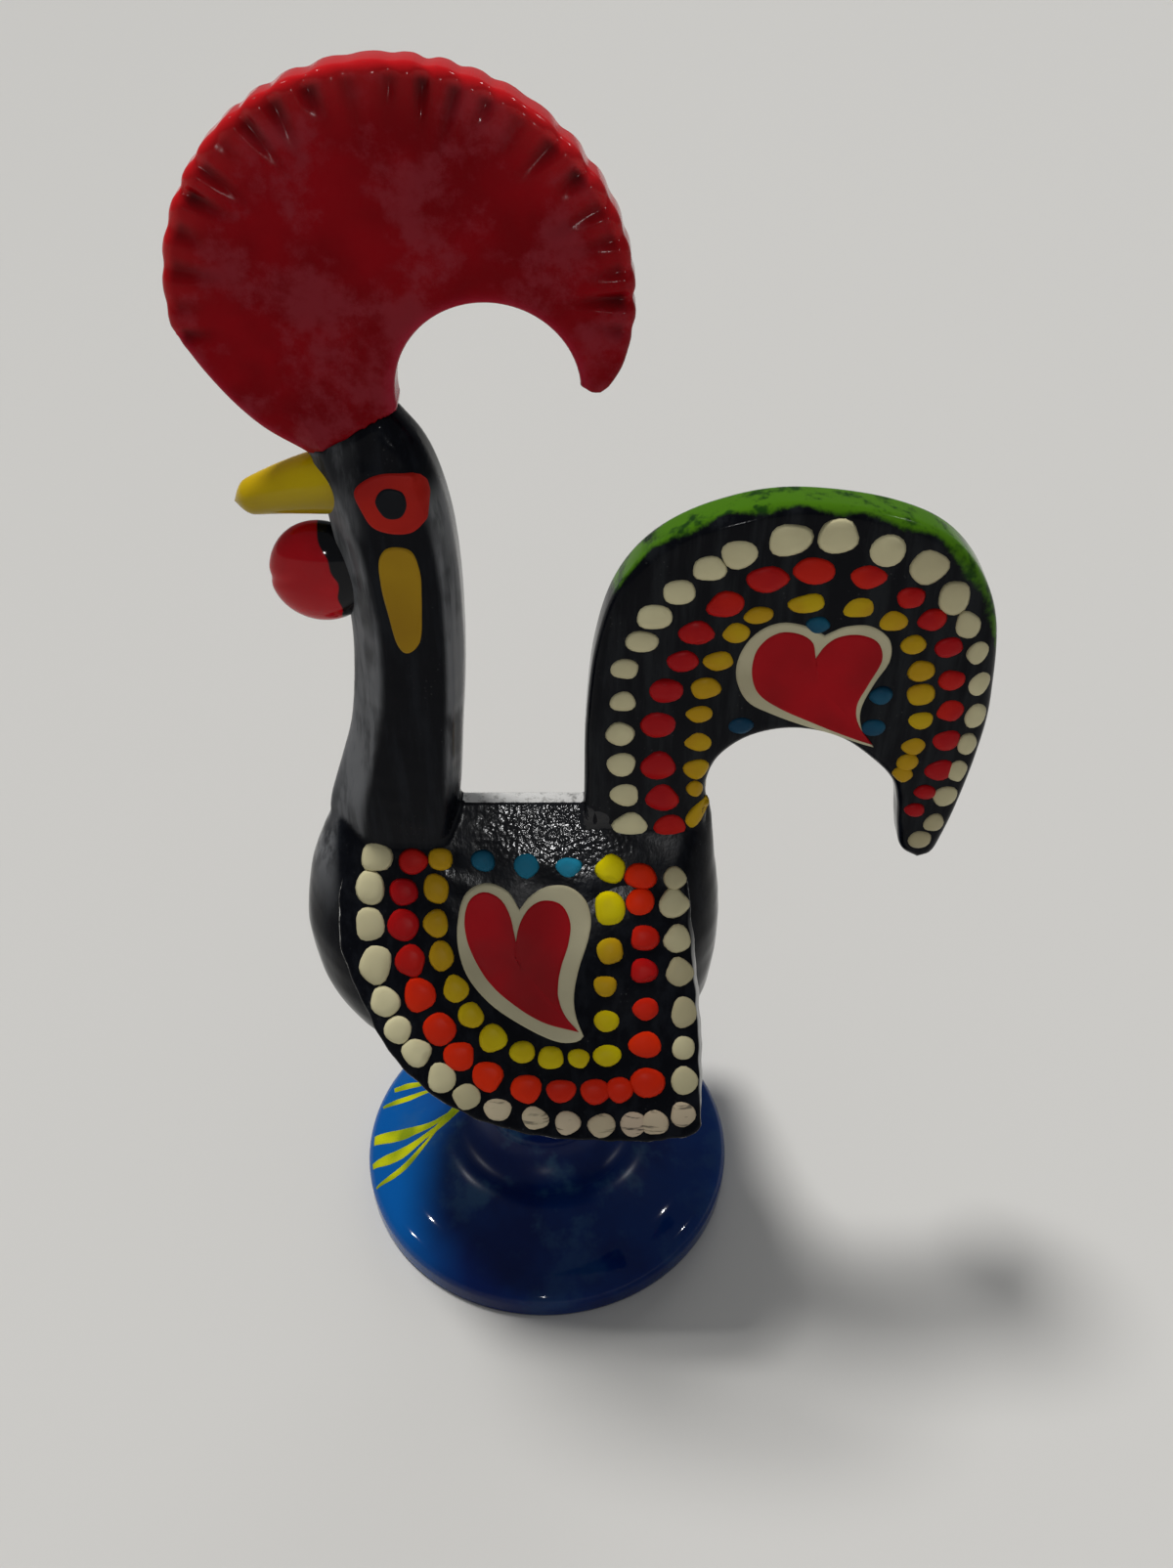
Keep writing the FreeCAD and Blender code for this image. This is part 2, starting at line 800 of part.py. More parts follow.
def wing_pocket(label, side):
    """The seat of a wing in the flank, open to the outside, with the holes for its pegs."""
    clearance = size("running_clearance")
    thickness = size("wing_thickness")
    face = Part.Face(Part.Wire([piece.toShape() for piece in wing_outline()]))
    face.translate(vec(0, 0, side * overrun))
    pocket = face.extrude(vec(0, 0, -side * (overrun + thickness)))
    half_spacing = size("wing_peg_spacing") / 2
    for x in (-half_spacing, half_spacing):
        hole = Part.makeCylinder(
            size("wing_peg_radius") + clearance,
            size("wing_peg_length") + thickness + clearance,
            vec(x, size("wing_peg_down"), 0),
            vec(0, 0, -side),
        )
        pocket = pocket.fuse(hole)
    placement = FreeCAD.Placement(
        vec(0, side * size("ridge_half_width"), size("ridge_height")),
        FreeCAD.Rotation(ALONG_X, -(90 - side * size("flare_angle"))),
    )
    return plain_shape(label, pocket, placement)


def make_body(beak, wattle):
    clearance = size("running_clearance")
    trunk = plain_shape("trunk_form", trunk_shape())
    neck = plain_shape("neck_form", neck_shape())
    blank = doc.addObject("Part::MultiFuse", "body_blank")
    blank.Shapes = [trunk, neck]

    crown_cut = doc.addObject("Part::Box", "crown_cut")
    bind(
        crown_cut,
        Length="2 * Sizes.cut_overrun",
        Width="2 * Sizes.cut_overrun",
        Height="Sizes.cut_overrun",
    )
    crown_cut.Placement = FreeCAD.Placement(
        crown_front - crown_along * overrun - vec(0, overrun, 0),
        FreeCAD.Rotation(ALONG_Y, -crown_angle),
    )

    comb_slot = doc.addObject("Part::Box", "comb_slot")
    bind(
        comb_slot,
        Length="Sizes.comb_tenon_length + 2 * Sizes.running_clearance",
        Width="Sizes.comb_tenon_thickness + 2 * Sizes.running_clearance",
        Height="Sizes.comb_tenon_depth + Sizes.running_clearance + Sizes.cut_overrun",
    )
    slot_corner = (
        crown_middle
        - crown_along * (size("comb_tenon_length") / 2 + clearance)
        - crown_out * (size("comb_tenon_depth") + clearance)
        - vec(0, size("comb_tenon_thickness") / 2 + clearance, 0)
    )
    comb_slot.Placement = FreeCAD.Placement(slot_corner, FreeCAD.Rotation(ALONG_Y, -crown_angle))

    tail_seat = doc.addObject("Part::Box", "tail_seat")
    bind(
        tail_seat,
        Length="Sizes.cut_overrun",
        Width="2 * Sizes.cut_overrun",
        Height="Sizes.cut_overrun",
        Placement__Base__x="Sizes.tail_front_reach",
        Placement__Base__y="-Sizes.cut_overrun",
        Placement__Base__z="Sizes.tail_seat_height",
    )

    tail_slot = doc.addObject("Part::Box", "tail_slot")
    bind(
        tail_slot,
        Length="Sizes.tail_tenon_length + 2 * Sizes.running_clearance",
        Width="Sizes.tail_tenon_thickness + 2 * Sizes.running_clearance",
        Height="Sizes.tail_tenon_depth + Sizes.running_clearance + Sizes.cut_overrun",
        Placement__Base__x=(
            "Sizes.tail_front_reach + Sizes.tail_stem_width / 2"
            " - Sizes.tail_tenon_length / 2 - Sizes.running_clearance"
        ),
        Placement__Base__y="-Sizes.tail_tenon_thickness / 2 - Sizes.running_clearance",
        Placement__Base__z="Sizes.tail_seat_height - Sizes.tail_tenon_depth - Sizes.running_clearance",
    )

    screw_bore = doc.addObject("Part::Cylinder", "screw_bore")
    bind(
        screw_bore,
        Radius="Sizes.screw_radius",
        Height="Sizes.screw_grip + Sizes.screw_tip_room",
        Placement__Base__z="Sizes.belly_height",
    )

    tools = doc.addObject("Part::MultiFuse", "body_cuts")
    tools.Shapes = [
        crown_cut,
        comb_slot,
        tail_seat,
        tail_slot,
        screw_bore,
        wing_pocket("wing_left_pocket", -1),
        wing_pocket("wing_right_pocket", 1),
        beak,
        wattle,
    ]
    body = doc.addObject("Part::Cut", "body")
    body.Base = blank
    body.Tool = tools
    body.Label = "body"
    doc.recompute()
    return body


foot = make_foot()
washer = make_washer()
screw = make_screw()
wing_left = make_wing("wing_left", -1)
wing_right = make_wing("wing_right", 1)
tail = make_tail()
comb = make_comb()
beak = make_beak()
wattle = make_wattle()
doc.recompute()
body = make_body(beak, wattle)
doc.recompute()

# Checks before writing
for item in doc.Objects:
    if "Invalid" in item.State or "Error" in item.State:
        raise RuntimeError(f"{item.Name} is {item.State}")
nodes = (body, comb, beak, wattle, wing_left, wing_right, tail, foot, screw, washer)
for node in nodes:
    shape = node.Shape
    if shape.isNull() or not shape.isValid():
        raise RuntimeError(f"{node.Label} has no valid shape")
    print(f"{node.Label}: {len(shape.Solids)} solid, {shape.Volume:.1f} cubic mm")

# Files
for node in nodes:
    node.Shape.exportStep(f"parts/{node.Label}.step")
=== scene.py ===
# %% [markdown]
# # A painted folk rooster
# This lesson dresses a imported CAD model of a rooster ornament with its enamel, its raised paint dots
# and its hearts. The CAD parts give every place and size. Blender adds what a hand and a brush add.
# We start by loading the imported model.

# %% Load the frame
import math

import bmesh
import bpy
import numpy as np
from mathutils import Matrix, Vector


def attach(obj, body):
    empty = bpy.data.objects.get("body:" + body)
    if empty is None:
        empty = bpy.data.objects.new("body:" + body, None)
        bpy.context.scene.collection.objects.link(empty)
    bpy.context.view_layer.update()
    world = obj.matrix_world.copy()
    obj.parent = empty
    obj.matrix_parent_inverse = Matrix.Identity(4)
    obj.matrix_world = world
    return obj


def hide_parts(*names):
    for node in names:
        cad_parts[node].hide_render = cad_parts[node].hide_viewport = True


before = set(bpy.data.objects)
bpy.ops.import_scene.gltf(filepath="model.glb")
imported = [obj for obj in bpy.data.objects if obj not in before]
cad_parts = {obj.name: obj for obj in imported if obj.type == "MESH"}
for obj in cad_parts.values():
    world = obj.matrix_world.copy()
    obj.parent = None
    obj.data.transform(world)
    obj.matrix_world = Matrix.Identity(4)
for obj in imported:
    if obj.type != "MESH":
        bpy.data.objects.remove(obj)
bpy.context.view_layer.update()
scene = bpy.context.scene
scene.view_settings.view_transform = "Standard"
MM = 0.001
SIDES = {"left": -1, "right": 1}

# %% [markdown]
# ## Camera
# The photograph looks down on the bird from in front of its left side. The picture is 1604 pixels high,
# and a lens is a focal length in the same units as the sensor, so the long side carries the sensor size.

# %% Camera
PICTURE_WIDTH = 1200
PICTURE_HEIGHT = 1604
FOCAL_PIXELS = 1500
LOOK_DOWN = math.radians(41.5)
CAMERA_PLACE = np.array([5.7, -125.5, 183.3])
camera_data = bpy.data.cameras.new("photo_camera")
camera_data.sensor_fit = "VERTICAL"
camera_data.sensor_height = 36.0
camera_data.lens = camera_data.sensor_height * FOCAL_PIXELS / PICTURE_HEIGHT
camera_data.clip_start = 0.01
camera = bpy.data.objects.new("photo_camera", camera_data)
camera.location = CAMERA_PLACE * MM
camera.rotation_euler = (math.pi / 2 - LOOK_DOWN, 0, 0)
scene.collection.objects.link(camera)
scene.camera = camera
print("lens in millimetres:", round(camera_data.lens, 2))


def seen_on(pixels, point, normal):
    """Where picture points lie on a plane. The ray of a picture point is the forward direction plus its
    shares of the right and up directions, and it is drawn out until it meets the plane."""
    pixels = np.asarray(pixels, float)
    right = (pixels[..., 0] - PICTURE_WIDTH / 2) / FOCAL_PIXELS
    up = (PICTURE_HEIGHT / 2 - pixels[..., 1]) / FOCAL_PIXELS
    forward, drop = math.cos(LOOK_DOWN), math.sin(LOOK_DOWN)
    ray = np.stack([right, forward + up * drop, up * forward - drop], axis=-1)
    reach = ((point - CAMERA_PLACE) @ normal) / (ray @ normal)
    return CAMERA_PLACE + ray * reach[..., None]

# %% [markdown]
# ## Surfaces from two parameters
# Every new piece is a grid: rows run one way over the surface and columns the other way. The helpers
# below turn a grid into four-sided faces and draw a smooth curve through a few points. They work on
# whole arrays, so a fine grid costs no more code than a coarse one.

# %% Grids and curves
def grid_quads(rows, columns, wrap_columns=True):
    """Row r and column c of a grid is vertex r * columns + c. Each face joins a vertex to its next
    neighbours in both directions, and wrapped columns join the last one to the first."""
    r, c = np.meshgrid(
        np.arange(rows - 1), np.arange(columns if wrap_columns else columns - 1), indexing="ij"
    )
    down, across = r + 1, (c + 1) % columns
    corners = (r * columns + c, r * columns + across, down * columns + across, down * columns + c)
    return np.stack(corners, axis=-1).reshape(-1, 4)


def many_grids(count, rows, columns):
    """The faces of several equal grids whose vertices follow each other."""
    one = grid_quads(rows, columns)
    return (one[None] + (np.arange(count) * rows * columns)[:, None, None]).reshape(-1, 4)


def smooth_path(points, count, closed=False):
    """A curve through every point. Between two points it is a cubic whose slope at each end is half
    the step from the point before to the point after. It is then sampled evenly along its length."""
    p = np.asarray(points, float)
    open_ends = [2 * p[0] - p[1], p, 2 * p[-1] - p[-2]]
    p = np.vstack([p[-1:], p, p[:2]] if closed else open_ends)
    t = np.linspace(0, 1, 32, endpoint=False)[None, :, None]
    a, b, c, d = (p[i : len(p) - 3 + i, None, :] for i in range(4))
    bend = (2 * a - 5 * b + 4 * c - d) * t**2 + (3 * b - a - 3 * c + d) * t**3
    curve = b + 0.5 * ((c - a) * t + bend)
    curve = np.vstack([curve.reshape(-1, p.shape[1]), p[-2]])
    reach = np.concatenate([[0], np.cumsum(np.linalg.norm(np.diff(curve, axis=0), axis=1))])
    at = np.linspace(0, reach[-1], count, endpoint=not closed)
    return np.stack([np.interp(at, reach, curve[:, k]) for k in range(p.shape[1])], axis=1)


def turned(profile, columns):
    """A profile of radius and height carried round the vertical axis."""
    turn = np.linspace(0, 2 * np.pi, columns, endpoint=False)
    radius, height = profile[:, 0, None], profile[:, 1, None]
    return np.stack([radius * np.cos(turn), radius * np.sin(turn), height + 0 * turn], axis=-1)


print("faces of a 3 by 4 grid:", len(grid_quads(3, 4)))

# %% [markdown]
# Much of the bird's shape depends on how far a point lies from an edge: the edge is rounded, paint stops
# short of it and wear starts from it. So we need a distance to a curve, two soft steps, and a cheap
# smooth noise for the small unevenness of a casting.

# %% Distances, falloffs and unevenness
def distance_to(points, path):
    """The distance from each flat point to a path of straight steps: each point is dropped on every
    step, held between the step's ends, and the nearest drop counts."""
    a, b = path[:-1], path[1:]
    step = b - a
    share = ((points[..., None, :] - a) * step).sum(-1) / np.maximum((step**2).sum(-1), 1e-12)
    near = a + np.clip(share, 0, 1)[..., None] * step
    return np.linalg.norm(points[..., None, :] - near, axis=-1).min(-1)


def fade(x, start, end):
    """0 before start, 1 after end, and a smooth turn between them: 3 t squared less 2 t cubed."""
    t = np.clip((x - start) / (end - start), 0, 1)
    return t * t * (3 - 2 * t)


def bump(x, width):
    """1 at zero and falling to both sides as a bell: e to the power of minus the square of x / width."""
    return np.exp(-((x / width) ** 2))


def rounded(depth, radius):
    """How much of the full height an edge has at a depth inside the outline: a quarter circle."""
    t = np.clip(depth / radius, 0, 1)
    return np.sqrt(1 - (1 - t) ** 2)


def waves(points, seed, size):
    """Soft hills between about -1 and 1: the mean of sine waves that cross in random directions."""
    rng = np.random.default_rng(seed)
    ways = rng.normal(size=(7, 3))
    ways /= np.linalg.norm(ways, axis=1)[:, None]
    pitch = size * rng.uniform(0.7, 1.5, 7)
    phase = rng.uniform(0, 2 * np.pi, 7)
    return np.sin((points @ ways.T) * (2 * np.pi / pitch) + phase).sum(-1) / 3.2


def level(flat):
    """Flat points with a third coordinate of zero, so that hills can be read at them."""
    return np.dstack([flat, 0 * flat[..., :1]])


print("a soft step at a third:", round(float(fade(1 / 3, 0, 1)), 3))

# %% [markdown]
# ## From arrays to a piece
# `foreach_set` copies an array straight into the mesh. Rows that shrink to a point and seams that meet
# are then merged, and the normals of the closed shell are turned outwards. Every piece rides on the one
# body, and stands for a CAD node where it replaces one.

# %% Meshes and pieces
def read(items, name, width, kind=float):
    """One row of numbers for every item of a mesh, such as the place of each vertex."""
    flat = np.empty(len(items) * width, kind)
    items.foreach_get(name, flat)
    return flat.reshape(-1, width)


def set_values(mesh, values):
    """Named values at the points of a mesh, for its material to read."""
    for key, value in values.items():
        data = mesh.attributes.new(key, "FLOAT", "POINT").data
        data.foreach_set("value", np.ravel(value).astype(np.float32))


def shade_smooth(mesh):
    """Marks every face as smooth, so that the shading follows the curve of the surface."""
    mesh.polygons.foreach_set("use_smooth", np.ones(len(mesh.polygons), bool))


def mesh_from(name, points, quads, values=(), merge=True):
    """A mesh from points in millimetres, four-sided faces and named values at the points."""
    mesh = bpy.data.meshes.new(name)
    points = np.asarray(points, float).reshape(-1, 3)
    quads = np.asarray(quads, np.int32)
    mesh.vertices.add(len(points))
    mesh.vertices.foreach_set("co", (points * MM).ravel())
    mesh.loops.add(quads.size)
    mesh.loops.foreach_set("vertex_index", quads.ravel())
    mesh.polygons.add(len(quads))
    mesh.polygons.foreach_set("loop_start", np.arange(len(quads), dtype=np.int32) * 4)
    mesh.polygons.foreach_set("loop_total", np.full(len(quads), 4, np.int32))
    set_values(mesh, dict(values))
    mesh.update(calc_edges=True)
    if merge:
        shell = bmesh.new()
        shell.from_mesh(mesh)
        bmesh.ops.remove_doubles(shell, verts=shell.verts, dist=2e-6)
        bmesh.ops.recalc_face_normals(shell, faces=shell.faces)
        shell.to_mesh(mesh)
        shell.free()
    shade_smooth(mesh)
    return mesh


def mesh_of(name, grid, values=()):
    """The mesh of one grid whose columns go round."""
    return mesh_from(name, grid, grid_quads(*grid.shape[:2]), values)


def add_piece(mesh, slot, *materials, replaces=()):
    """Puts a mesh in the scene as a piece of the bird."""
    piece = bpy.data.objects.new(mesh.name, mesh)
    scene.collection.objects.link(piece)
    for material in materials:
        mesh.materials.append(material)
    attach(piece, "root")
    if replaces:
        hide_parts(*replaces)
    print(f"{mesh.name}: {len(mesh.polygons)} faces")


# %% [markdown]
# ## Nodes
# A material is a tree of nodes. The same few nodes come back in every effect: sums, products, soft
# steps and noise. A small class holds a tree and adds them, so that an effect reads like a formula.

# %% Node trees
class Nodes:
    """A node tree, with short ways to add the nodes that come back in every effect."""

    def __init__(self, tree):
        self.tree = tree

    def put(self, value, socket):
        """Links another socket to this one, or sets a plain value on it."""
        if isinstance(value, bpy.types.NodeSocket):
            self.tree.links.new(value, socket)
        else:
            socket.default_value = value

    def node(self, kind, settings=None, **inputs):
        """Adds a node and fills its inputs. Spaces in names are underscores, and _0 is the first one."""
        made = self.tree.nodes.new(kind)
        for key, value in (settings or {}).items():
            setattr(made, key, value)
        for key, value in inputs.items():
            name = int(key[1:]) if key[0] == "_" else key.replace("_", " ")
            self.put(value, made.inputs[name])
        return made

    def math(self, operation, a, b, clamp=False):
        """One calculation with two values, held between 0 and 1 where it is clamped."""
        settings = {"operation": operation, "use_clamp": clamp}
        return self.node("ShaderNodeMath", settings, _0=a, _1=b).outputs[0]

    def add(self, a, b, clamp=False):
        return self.math("ADD", a, b, clamp)

    def times(self, a, b, clamp=False):
        return self.math("MULTIPLY", a, b, clamp)

    def less(self, a, b, clamp=False):
        return self.math("SUBTRACT", a, b, clamp)

    def stretch(self, value, low, high):
        """0 at low, 1 at high, smooth between, held outside."""
        smooth = {"interpolation_type": "SMOOTHSTEP"}
        made = self.node("ShaderNodeMapRange", smooth, Value=value, From_Min=low, From_Max=high)
        return made.outputs[0]

    def range(self, mask, low, high):
        """Turns 0 to 1 into low to high."""
        return self.node("ShaderNodeMapRange", Value=mask, To_Min=low, To_Max=high).outputs[0]

    def noise(self, scale, detail=2.0, rough=0.5, place=None):
        """A smooth random value, by default read at the place on the object."""
        place = self.place if place is None else place
        made = self.node("ShaderNodeTexNoise", Vector=place, Scale=scale, Detail=detail, Roughness=rough)
        return made.outputs[0]

    def squeezed(self, scale, rotation=(0.0, 0.0, 0.0)):
        """The place on the object, turned and squeezed, so that a noise on it is drawn out."""
        made = self.node("ShaderNodeMapping", Vector=self.place, Rotation=rotation, Scale=scale)
        return made.outputs[0]

    def length(self, place):
        """How far a place is from the origin: the root of the sum of its squares."""
        made = self.node("ShaderNodeVectorMath", {"operation": "LENGTH"}, _0=place)
        return made.outputs["Value"]


# %% [markdown]
# ## Enamel effects
# The whole bird is brushed with thick gloss enamel. Three effects come back in every colour, so each is
# a node group: the skin of the enamel (orange peel and brush marks), edges where the paint is worn thin,
# and fine pale specks of dust. The groups give out only masks and heights. The shader itself stays in
# the material, where its plain numbers are set on its own sockets.

# %% Effect groups
class Effect(Nodes):
    """A shader node group. It takes the place on the object and named numbers, and gives out masks."""

    def __init__(self, name, **numbers):
        super().__init__(bpy.data.node_groups.new(name, "ShaderNodeTree"))
        self.socket("Place", "INPUT", "NodeSocketVector")
        for key, value in numbers.items():
            self.socket(key.replace("_", " "), "INPUT", "NodeSocketFloat").default_value = value
        self.given = self.tree.nodes.new("NodeGroupInput").outputs
        self.out = self.tree.nodes.new("NodeGroupOutput")
        self.place = self.given["Place"]

    def socket(self, name, way, kind):
        return self.tree.interface.new_socket(name=name, in_out=way, socket_type=kind)

    def give(self, name, mask):
        """Adds a named output and links a mask to it."""
        self.socket(name, "OUTPUT", "NodeSocketFloat")
        self.put(mask, self.out.inputs[name])


def make_skin_group():
    """Height: fine orange peel, soft runs of thick paint and brush marks that follow one axis.
    Brush: streaks along that axis. Cloud: large soft patches."""
    skin = Effect("enamel_skin", Peel=1.0, Runs=1.0, Brush_Marks=1.0)
    streaks = skin.noise(620.0, 4.0, 0.62, skin.squeezed((1.0, 1.0, 0.11)))
    peel = skin.times(skin.noise(900.0), skin.given["Peel"])
    runs = skin.times(skin.noise(190.0, 2.0, 0.4), skin.given["Runs"])
    marks = skin.times(streaks, skin.given["Brush Marks"])
    skin.give("Height", skin.add(skin.add(peel, runs), marks))
    skin.give("Brush", skin.stretch(streaks, 0.42, 0.68))
    skin.give("Cloud", skin.stretch(skin.noise(85.0, 3.0, 0.55), 0.38, 0.66))
    return skin.tree


def make_wear_group():
    """Wear: 1 where the paint is rubbed off. It is strongest where Edge is 0 and is broken up by noise."""
    worn = Effect("worn_edge", Edge=1.0, Reach=0.4, Amount=0.5)
    nearness = worn.less(1.0, worn.math("DIVIDE", worn.given["Edge"], worn.given["Reach"]), True)
    rubbed = worn.add(worn.times(nearness, worn.given["Amount"]), worn.noise(420.0, 4.0, 0.65))
    worn.give("Wear", worn.stretch(rubbed, 0.98, 1.12))
    return worn.tree


def make_dust_group():
    """Dust: small pale specks, as single points of a fine cell pattern, thinned out by soft patches."""
    dust = Effect("dust_specks", Size=1.0, Amount=0.5)
    scale = dust.math("DIVIDE", 1500.0, dust.given["Size"])
    cell = dust.node("ShaderNodeTexVoronoi", Vector=dust.place, Scale=scale).outputs["Distance"]
    speck = dust.less(1.0, dust.stretch(cell, 0.05, 0.22))
    amount = dust.times(dust.stretch(dust.noise(260.0, 3.0, 0.6), 0.5, 0.72), dust.given["Amount"])
    dust.give("Dust", dust.times(speck, amount, True))
    return dust.tree


skin_group = make_skin_group()
wear_group = make_wear_group()
dust_group = make_dust_group()
print("effect groups:", skin_group.name, wear_group.name, dust_group.name)

# %% [markdown]
# ## Enamels
# An enamel starts from two colours, a full one and the shade it has where the coat is thin or dusty.
# Its mask comes from the skin group. Roughness varies a little with the same masks, and the height feeds
# a bump.

# %% Enamel maker
class Paint(Nodes):
    """One material: its node tree, its shader and its place on the object."""

    def __init__(self, name, roughness=0.2, metallic=0.0, specular=0.5):
        self.material = bpy.data.materials.new(name)
        self.material.use_nodes = True
        super().__init__(self.material.node_tree)
        self.shader = next(n for n in self.tree.nodes if n.type == "BSDF_PRINCIPLED").inputs
        self.shader["Roughness"].default_value = roughness
        self.shader["Metallic"].default_value = metallic
        self.shader["Specular IOR Level"].default_value = specular
        self.shader["Coat Roughness"].default_value = 0.10
        self.place = self.tree.nodes.new("ShaderNodeTexCoord").outputs["Object"]

    def effect(self, group, **inputs):
        """Adds a group of nodes and returns what it gives out."""
        return self.node("ShaderNodeGroup", {"node_tree": group}, Place=self.place, **inputs).outputs

    def value(self, name):
        """A named value of the mesh."""
        return self.node("ShaderNodeAttribute", {"attribute_name": name}).outputs["Fac"]

    def mix(self, mask, a, b):
        """Colour a where the mask is 0 and colour b where it is 1."""
        mixer = self.node("ShaderNodeMix", {"data_type": "RGBA"}, _0=mask)
        for colour, socket in ((a, mixer.inputs[6]), (b, mixer.inputs[7])):
            self.put((*colour, 1.0) if isinstance(colour, tuple) else colour, socket)
        return mixer.outputs[2]

    def finish(self, colour, roughness, height, depth):
        """Feeds the shader. depth is the height of the bump in millimetres."""
        self.put(colour, self.shader["Base Color"])
        self.put(roughness, self.shader["Roughness"])
        raised = self.node("ShaderNodeBump", Strength=1.0, Distance=depth * MM, Height=height)
        self.put(raised.outputs[0], self.shader["Normal"])
        self.put(raised.outputs[0], self.shader["Coat Normal"])
        return self.material


BLACK = (0.0028, 0.0033, 0.0055)
BLACK_THIN = (0.0085, 0.0100, 0.0140)
BARE_METAL = (0.46, 0.46, 0.44)
print("black and thin black:", BLACK, BLACK_THIN)

# %% [markdown]
# The black coat comes in three kinds. The casting has a rubbed ridge, a grey haze on its neck that is
# partly dust and partly painted reflection on the bevels, and a rough saddle that glitters. The wings are
# worn to the metal along their edges. The tail carries a green band that a dry brush has frayed. Each kind
# is a short function that paints over the common black.

# %% Black enamel
def green_band(paint, colour, height):
    """Green where the value rim_paint, made ragged by two noises, is over one. It lies thick."""
    edge = paint.add(paint.value("rim_paint"), paint.times(paint.noise(900.0, 4.0, 0.7), 1.5))
    edge = paint.add(edge, paint.times(paint.noise(260.0), 1.4))
    mask = paint.stretch(edge, 1.10, 2.05)
    coarse = paint.stretch(paint.noise(420.0, 3.0, 0.6), 0.34, 0.52)
    green = paint.mix(coarse, (0.011, 0.046, 0.005), (0.060, 0.170, 0.006))
    return paint.mix(mask, colour, green), paint.add(height, paint.times(mask, 0.6))


def cast_back(paint, colour, height):
    """A grey haze by its value on the mesh, partly dust and partly painted reflection on the neck's bevels
    and the front of the head, bare metal by the value crest, and a coarse grain with a clear coat by the
    value saddle."""
    smear = paint.add(paint.skin["Brush"], paint.skin["Cloud"])
    # Painted reflection, partly dust: the grey haze on the neck's bevels.
    film_and_sheen = paint.times(paint.value("film_and_sheen"), paint.stretch(smear, -0.5, 1.3), True)
    colour = paint.mix(film_and_sheen, colour, (0.155, 0.160, 0.170))
    spots = paint.noise(800.0, 4.0, 0.7)
    rubbed = paint.add(paint.value("crest"), paint.times(spots, 0.5))
    bare = paint.mix(paint.stretch(spots, 0.3, 0.5), (0.26, 0.26, 0.25), (0.62, 0.62, 0.61))
    colour = paint.mix(paint.stretch(rubbed, 0.70, 0.84), colour, bare)
    grain = paint.times(paint.noise(1700.0, 1.0, 0.4), paint.value("saddle"))
    paint.put(paint.times(paint.value("saddle"), 0.6), paint.shader["Coat Weight"])
    return colour, paint.add(height, paint.times(grain, 2.0))


def worn_plate(paint, colour, height):
    """Metal shows where the value edge is near 0, and the rear edge shines by the value shine."""
    worn = paint.effect(wear_group, Edge=paint.value("edge"), Reach=0.45, Amount=0.62)["Wear"]
    colour = paint.mix(worn, colour, BARE_METAL)
    return paint.mix(paint.value("shine"), colour, (0.72, 0.72, 0.70)), height


def black_enamel(name, over, thin=BLACK_THIN):
    """Black with thin streaks and dust, then what is painted or rubbed over it."""
    paint = Paint(name, roughness=0.16, specular=0.07)
    paint.skin = paint.effect(skin_group, Peel=0.35, Runs=1.0, Brush_Marks=0.5)
    dust = paint.effect(dust_group, Size=1.0, Amount=0.5)["Dust"]
    colour = paint.mix(paint.range(paint.skin["Brush"], 0.0, 0.8), BLACK, thin)
    colour = paint.mix(paint.range(dust, 0.0, 0.22), colour, (0.30, 0.30, 0.30))
    colour, height = over(paint, colour, paint.skin["Height"])
    return paint.finish(colour, paint.range(paint.skin["Cloud"], 0.10, 0.22), height, 0.05)


body_paint = black_enamel("black_enamel_body", cast_back)
wing_paint = black_enamel("black_enamel_wing", worn_plate)
tail_paint = black_enamel("black_enamel_tail", green_band, thin=(0.014, 0.016, 0.019))
print("black enamels:", body_paint.name, wing_paint.name, tail_paint.name)

# %% [markdown]
# Dots, hearts and strokes are laid on with the same thick paint in many colours. Each mark has its own
# tone between a dull and a bright shade, and dark scratches where the bird has been rubbed.

# %% Dot enamel
def dot_enamel(name, dull, bright, rubbed=None):
    """The value tone sets the shade. The value scuff rubs dark scratches in, drawn out along a slanted
    line, and turns the colour to the rubbed one."""
    paint = Paint(name, roughness=0.3, specular=0.09)
    skin = paint.effect(skin_group, Peel=0.5, Runs=0.6, Brush_Marks=0.2)
    tone = paint.add(paint.value("tone"), paint.range(skin["Cloud"], -0.18, 0.18), True)
    colour = paint.mix(tone, dull, bright)
    if rubbed:
        colour = paint.mix(paint.times(paint.value("scuff"), 0.75), colour, rubbed)
    slanted = paint.squeezed((0.12, 0.12, 1.0), (0.0, 0.6, 0.0))
    scratch = paint.stretch(paint.noise(2200.0, 3.0, 0.6, slanted), 0.56, 0.66)
    colour = paint.mix(paint.times(scratch, paint.value("scuff"), True), colour, (0.02, 0.02, 0.02))
    return paint.finish(colour, paint.range(skin["Cloud"], 0.32, 0.48), skin["Height"], 0.03)


white_paint = dot_enamel("cream_dots", (0.40, 0.35, 0.21), (0.68, 0.63, 0.39), (0.60, 0.47, 0.37))
red_paint = dot_enamel("red_dots", (0.37, 0.003, 0.006), (0.78, 0.028, 0.001))
yellow_paint = dot_enamel("yellow_dots", (0.47, 0.27, 0.006), (0.66, 0.56, 0.001))
blue_paint = dot_enamel("teal_dots", (0.004, 0.040, 0.085), (0.016, 0.230, 0.370))
heart_rim_paint = dot_enamel("cream_heart_rim", (0.42, 0.38, 0.25), (0.60, 0.56, 0.38))
heart_paint = dot_enamel("red_heart", (0.24, 0.0006, 0.0036), (0.46, 0.0018, 0.0080))
leaf_paint = dot_enamel("leaf_strokes", (0.20, 0.26, 0.006), (0.50, 0.52, 0.004))
eye_paint = dot_enamel("red_eye", (0.31, 0.007, 0.006), (0.45, 0.015, 0.007))
pupil_paint = dot_enamel("black_pupil", BLACK, BLACK_THIN)
drop_paint = dot_enamel("ochre_drop", (0.28, 0.150, 0.005), (0.40, 0.235, 0.007))
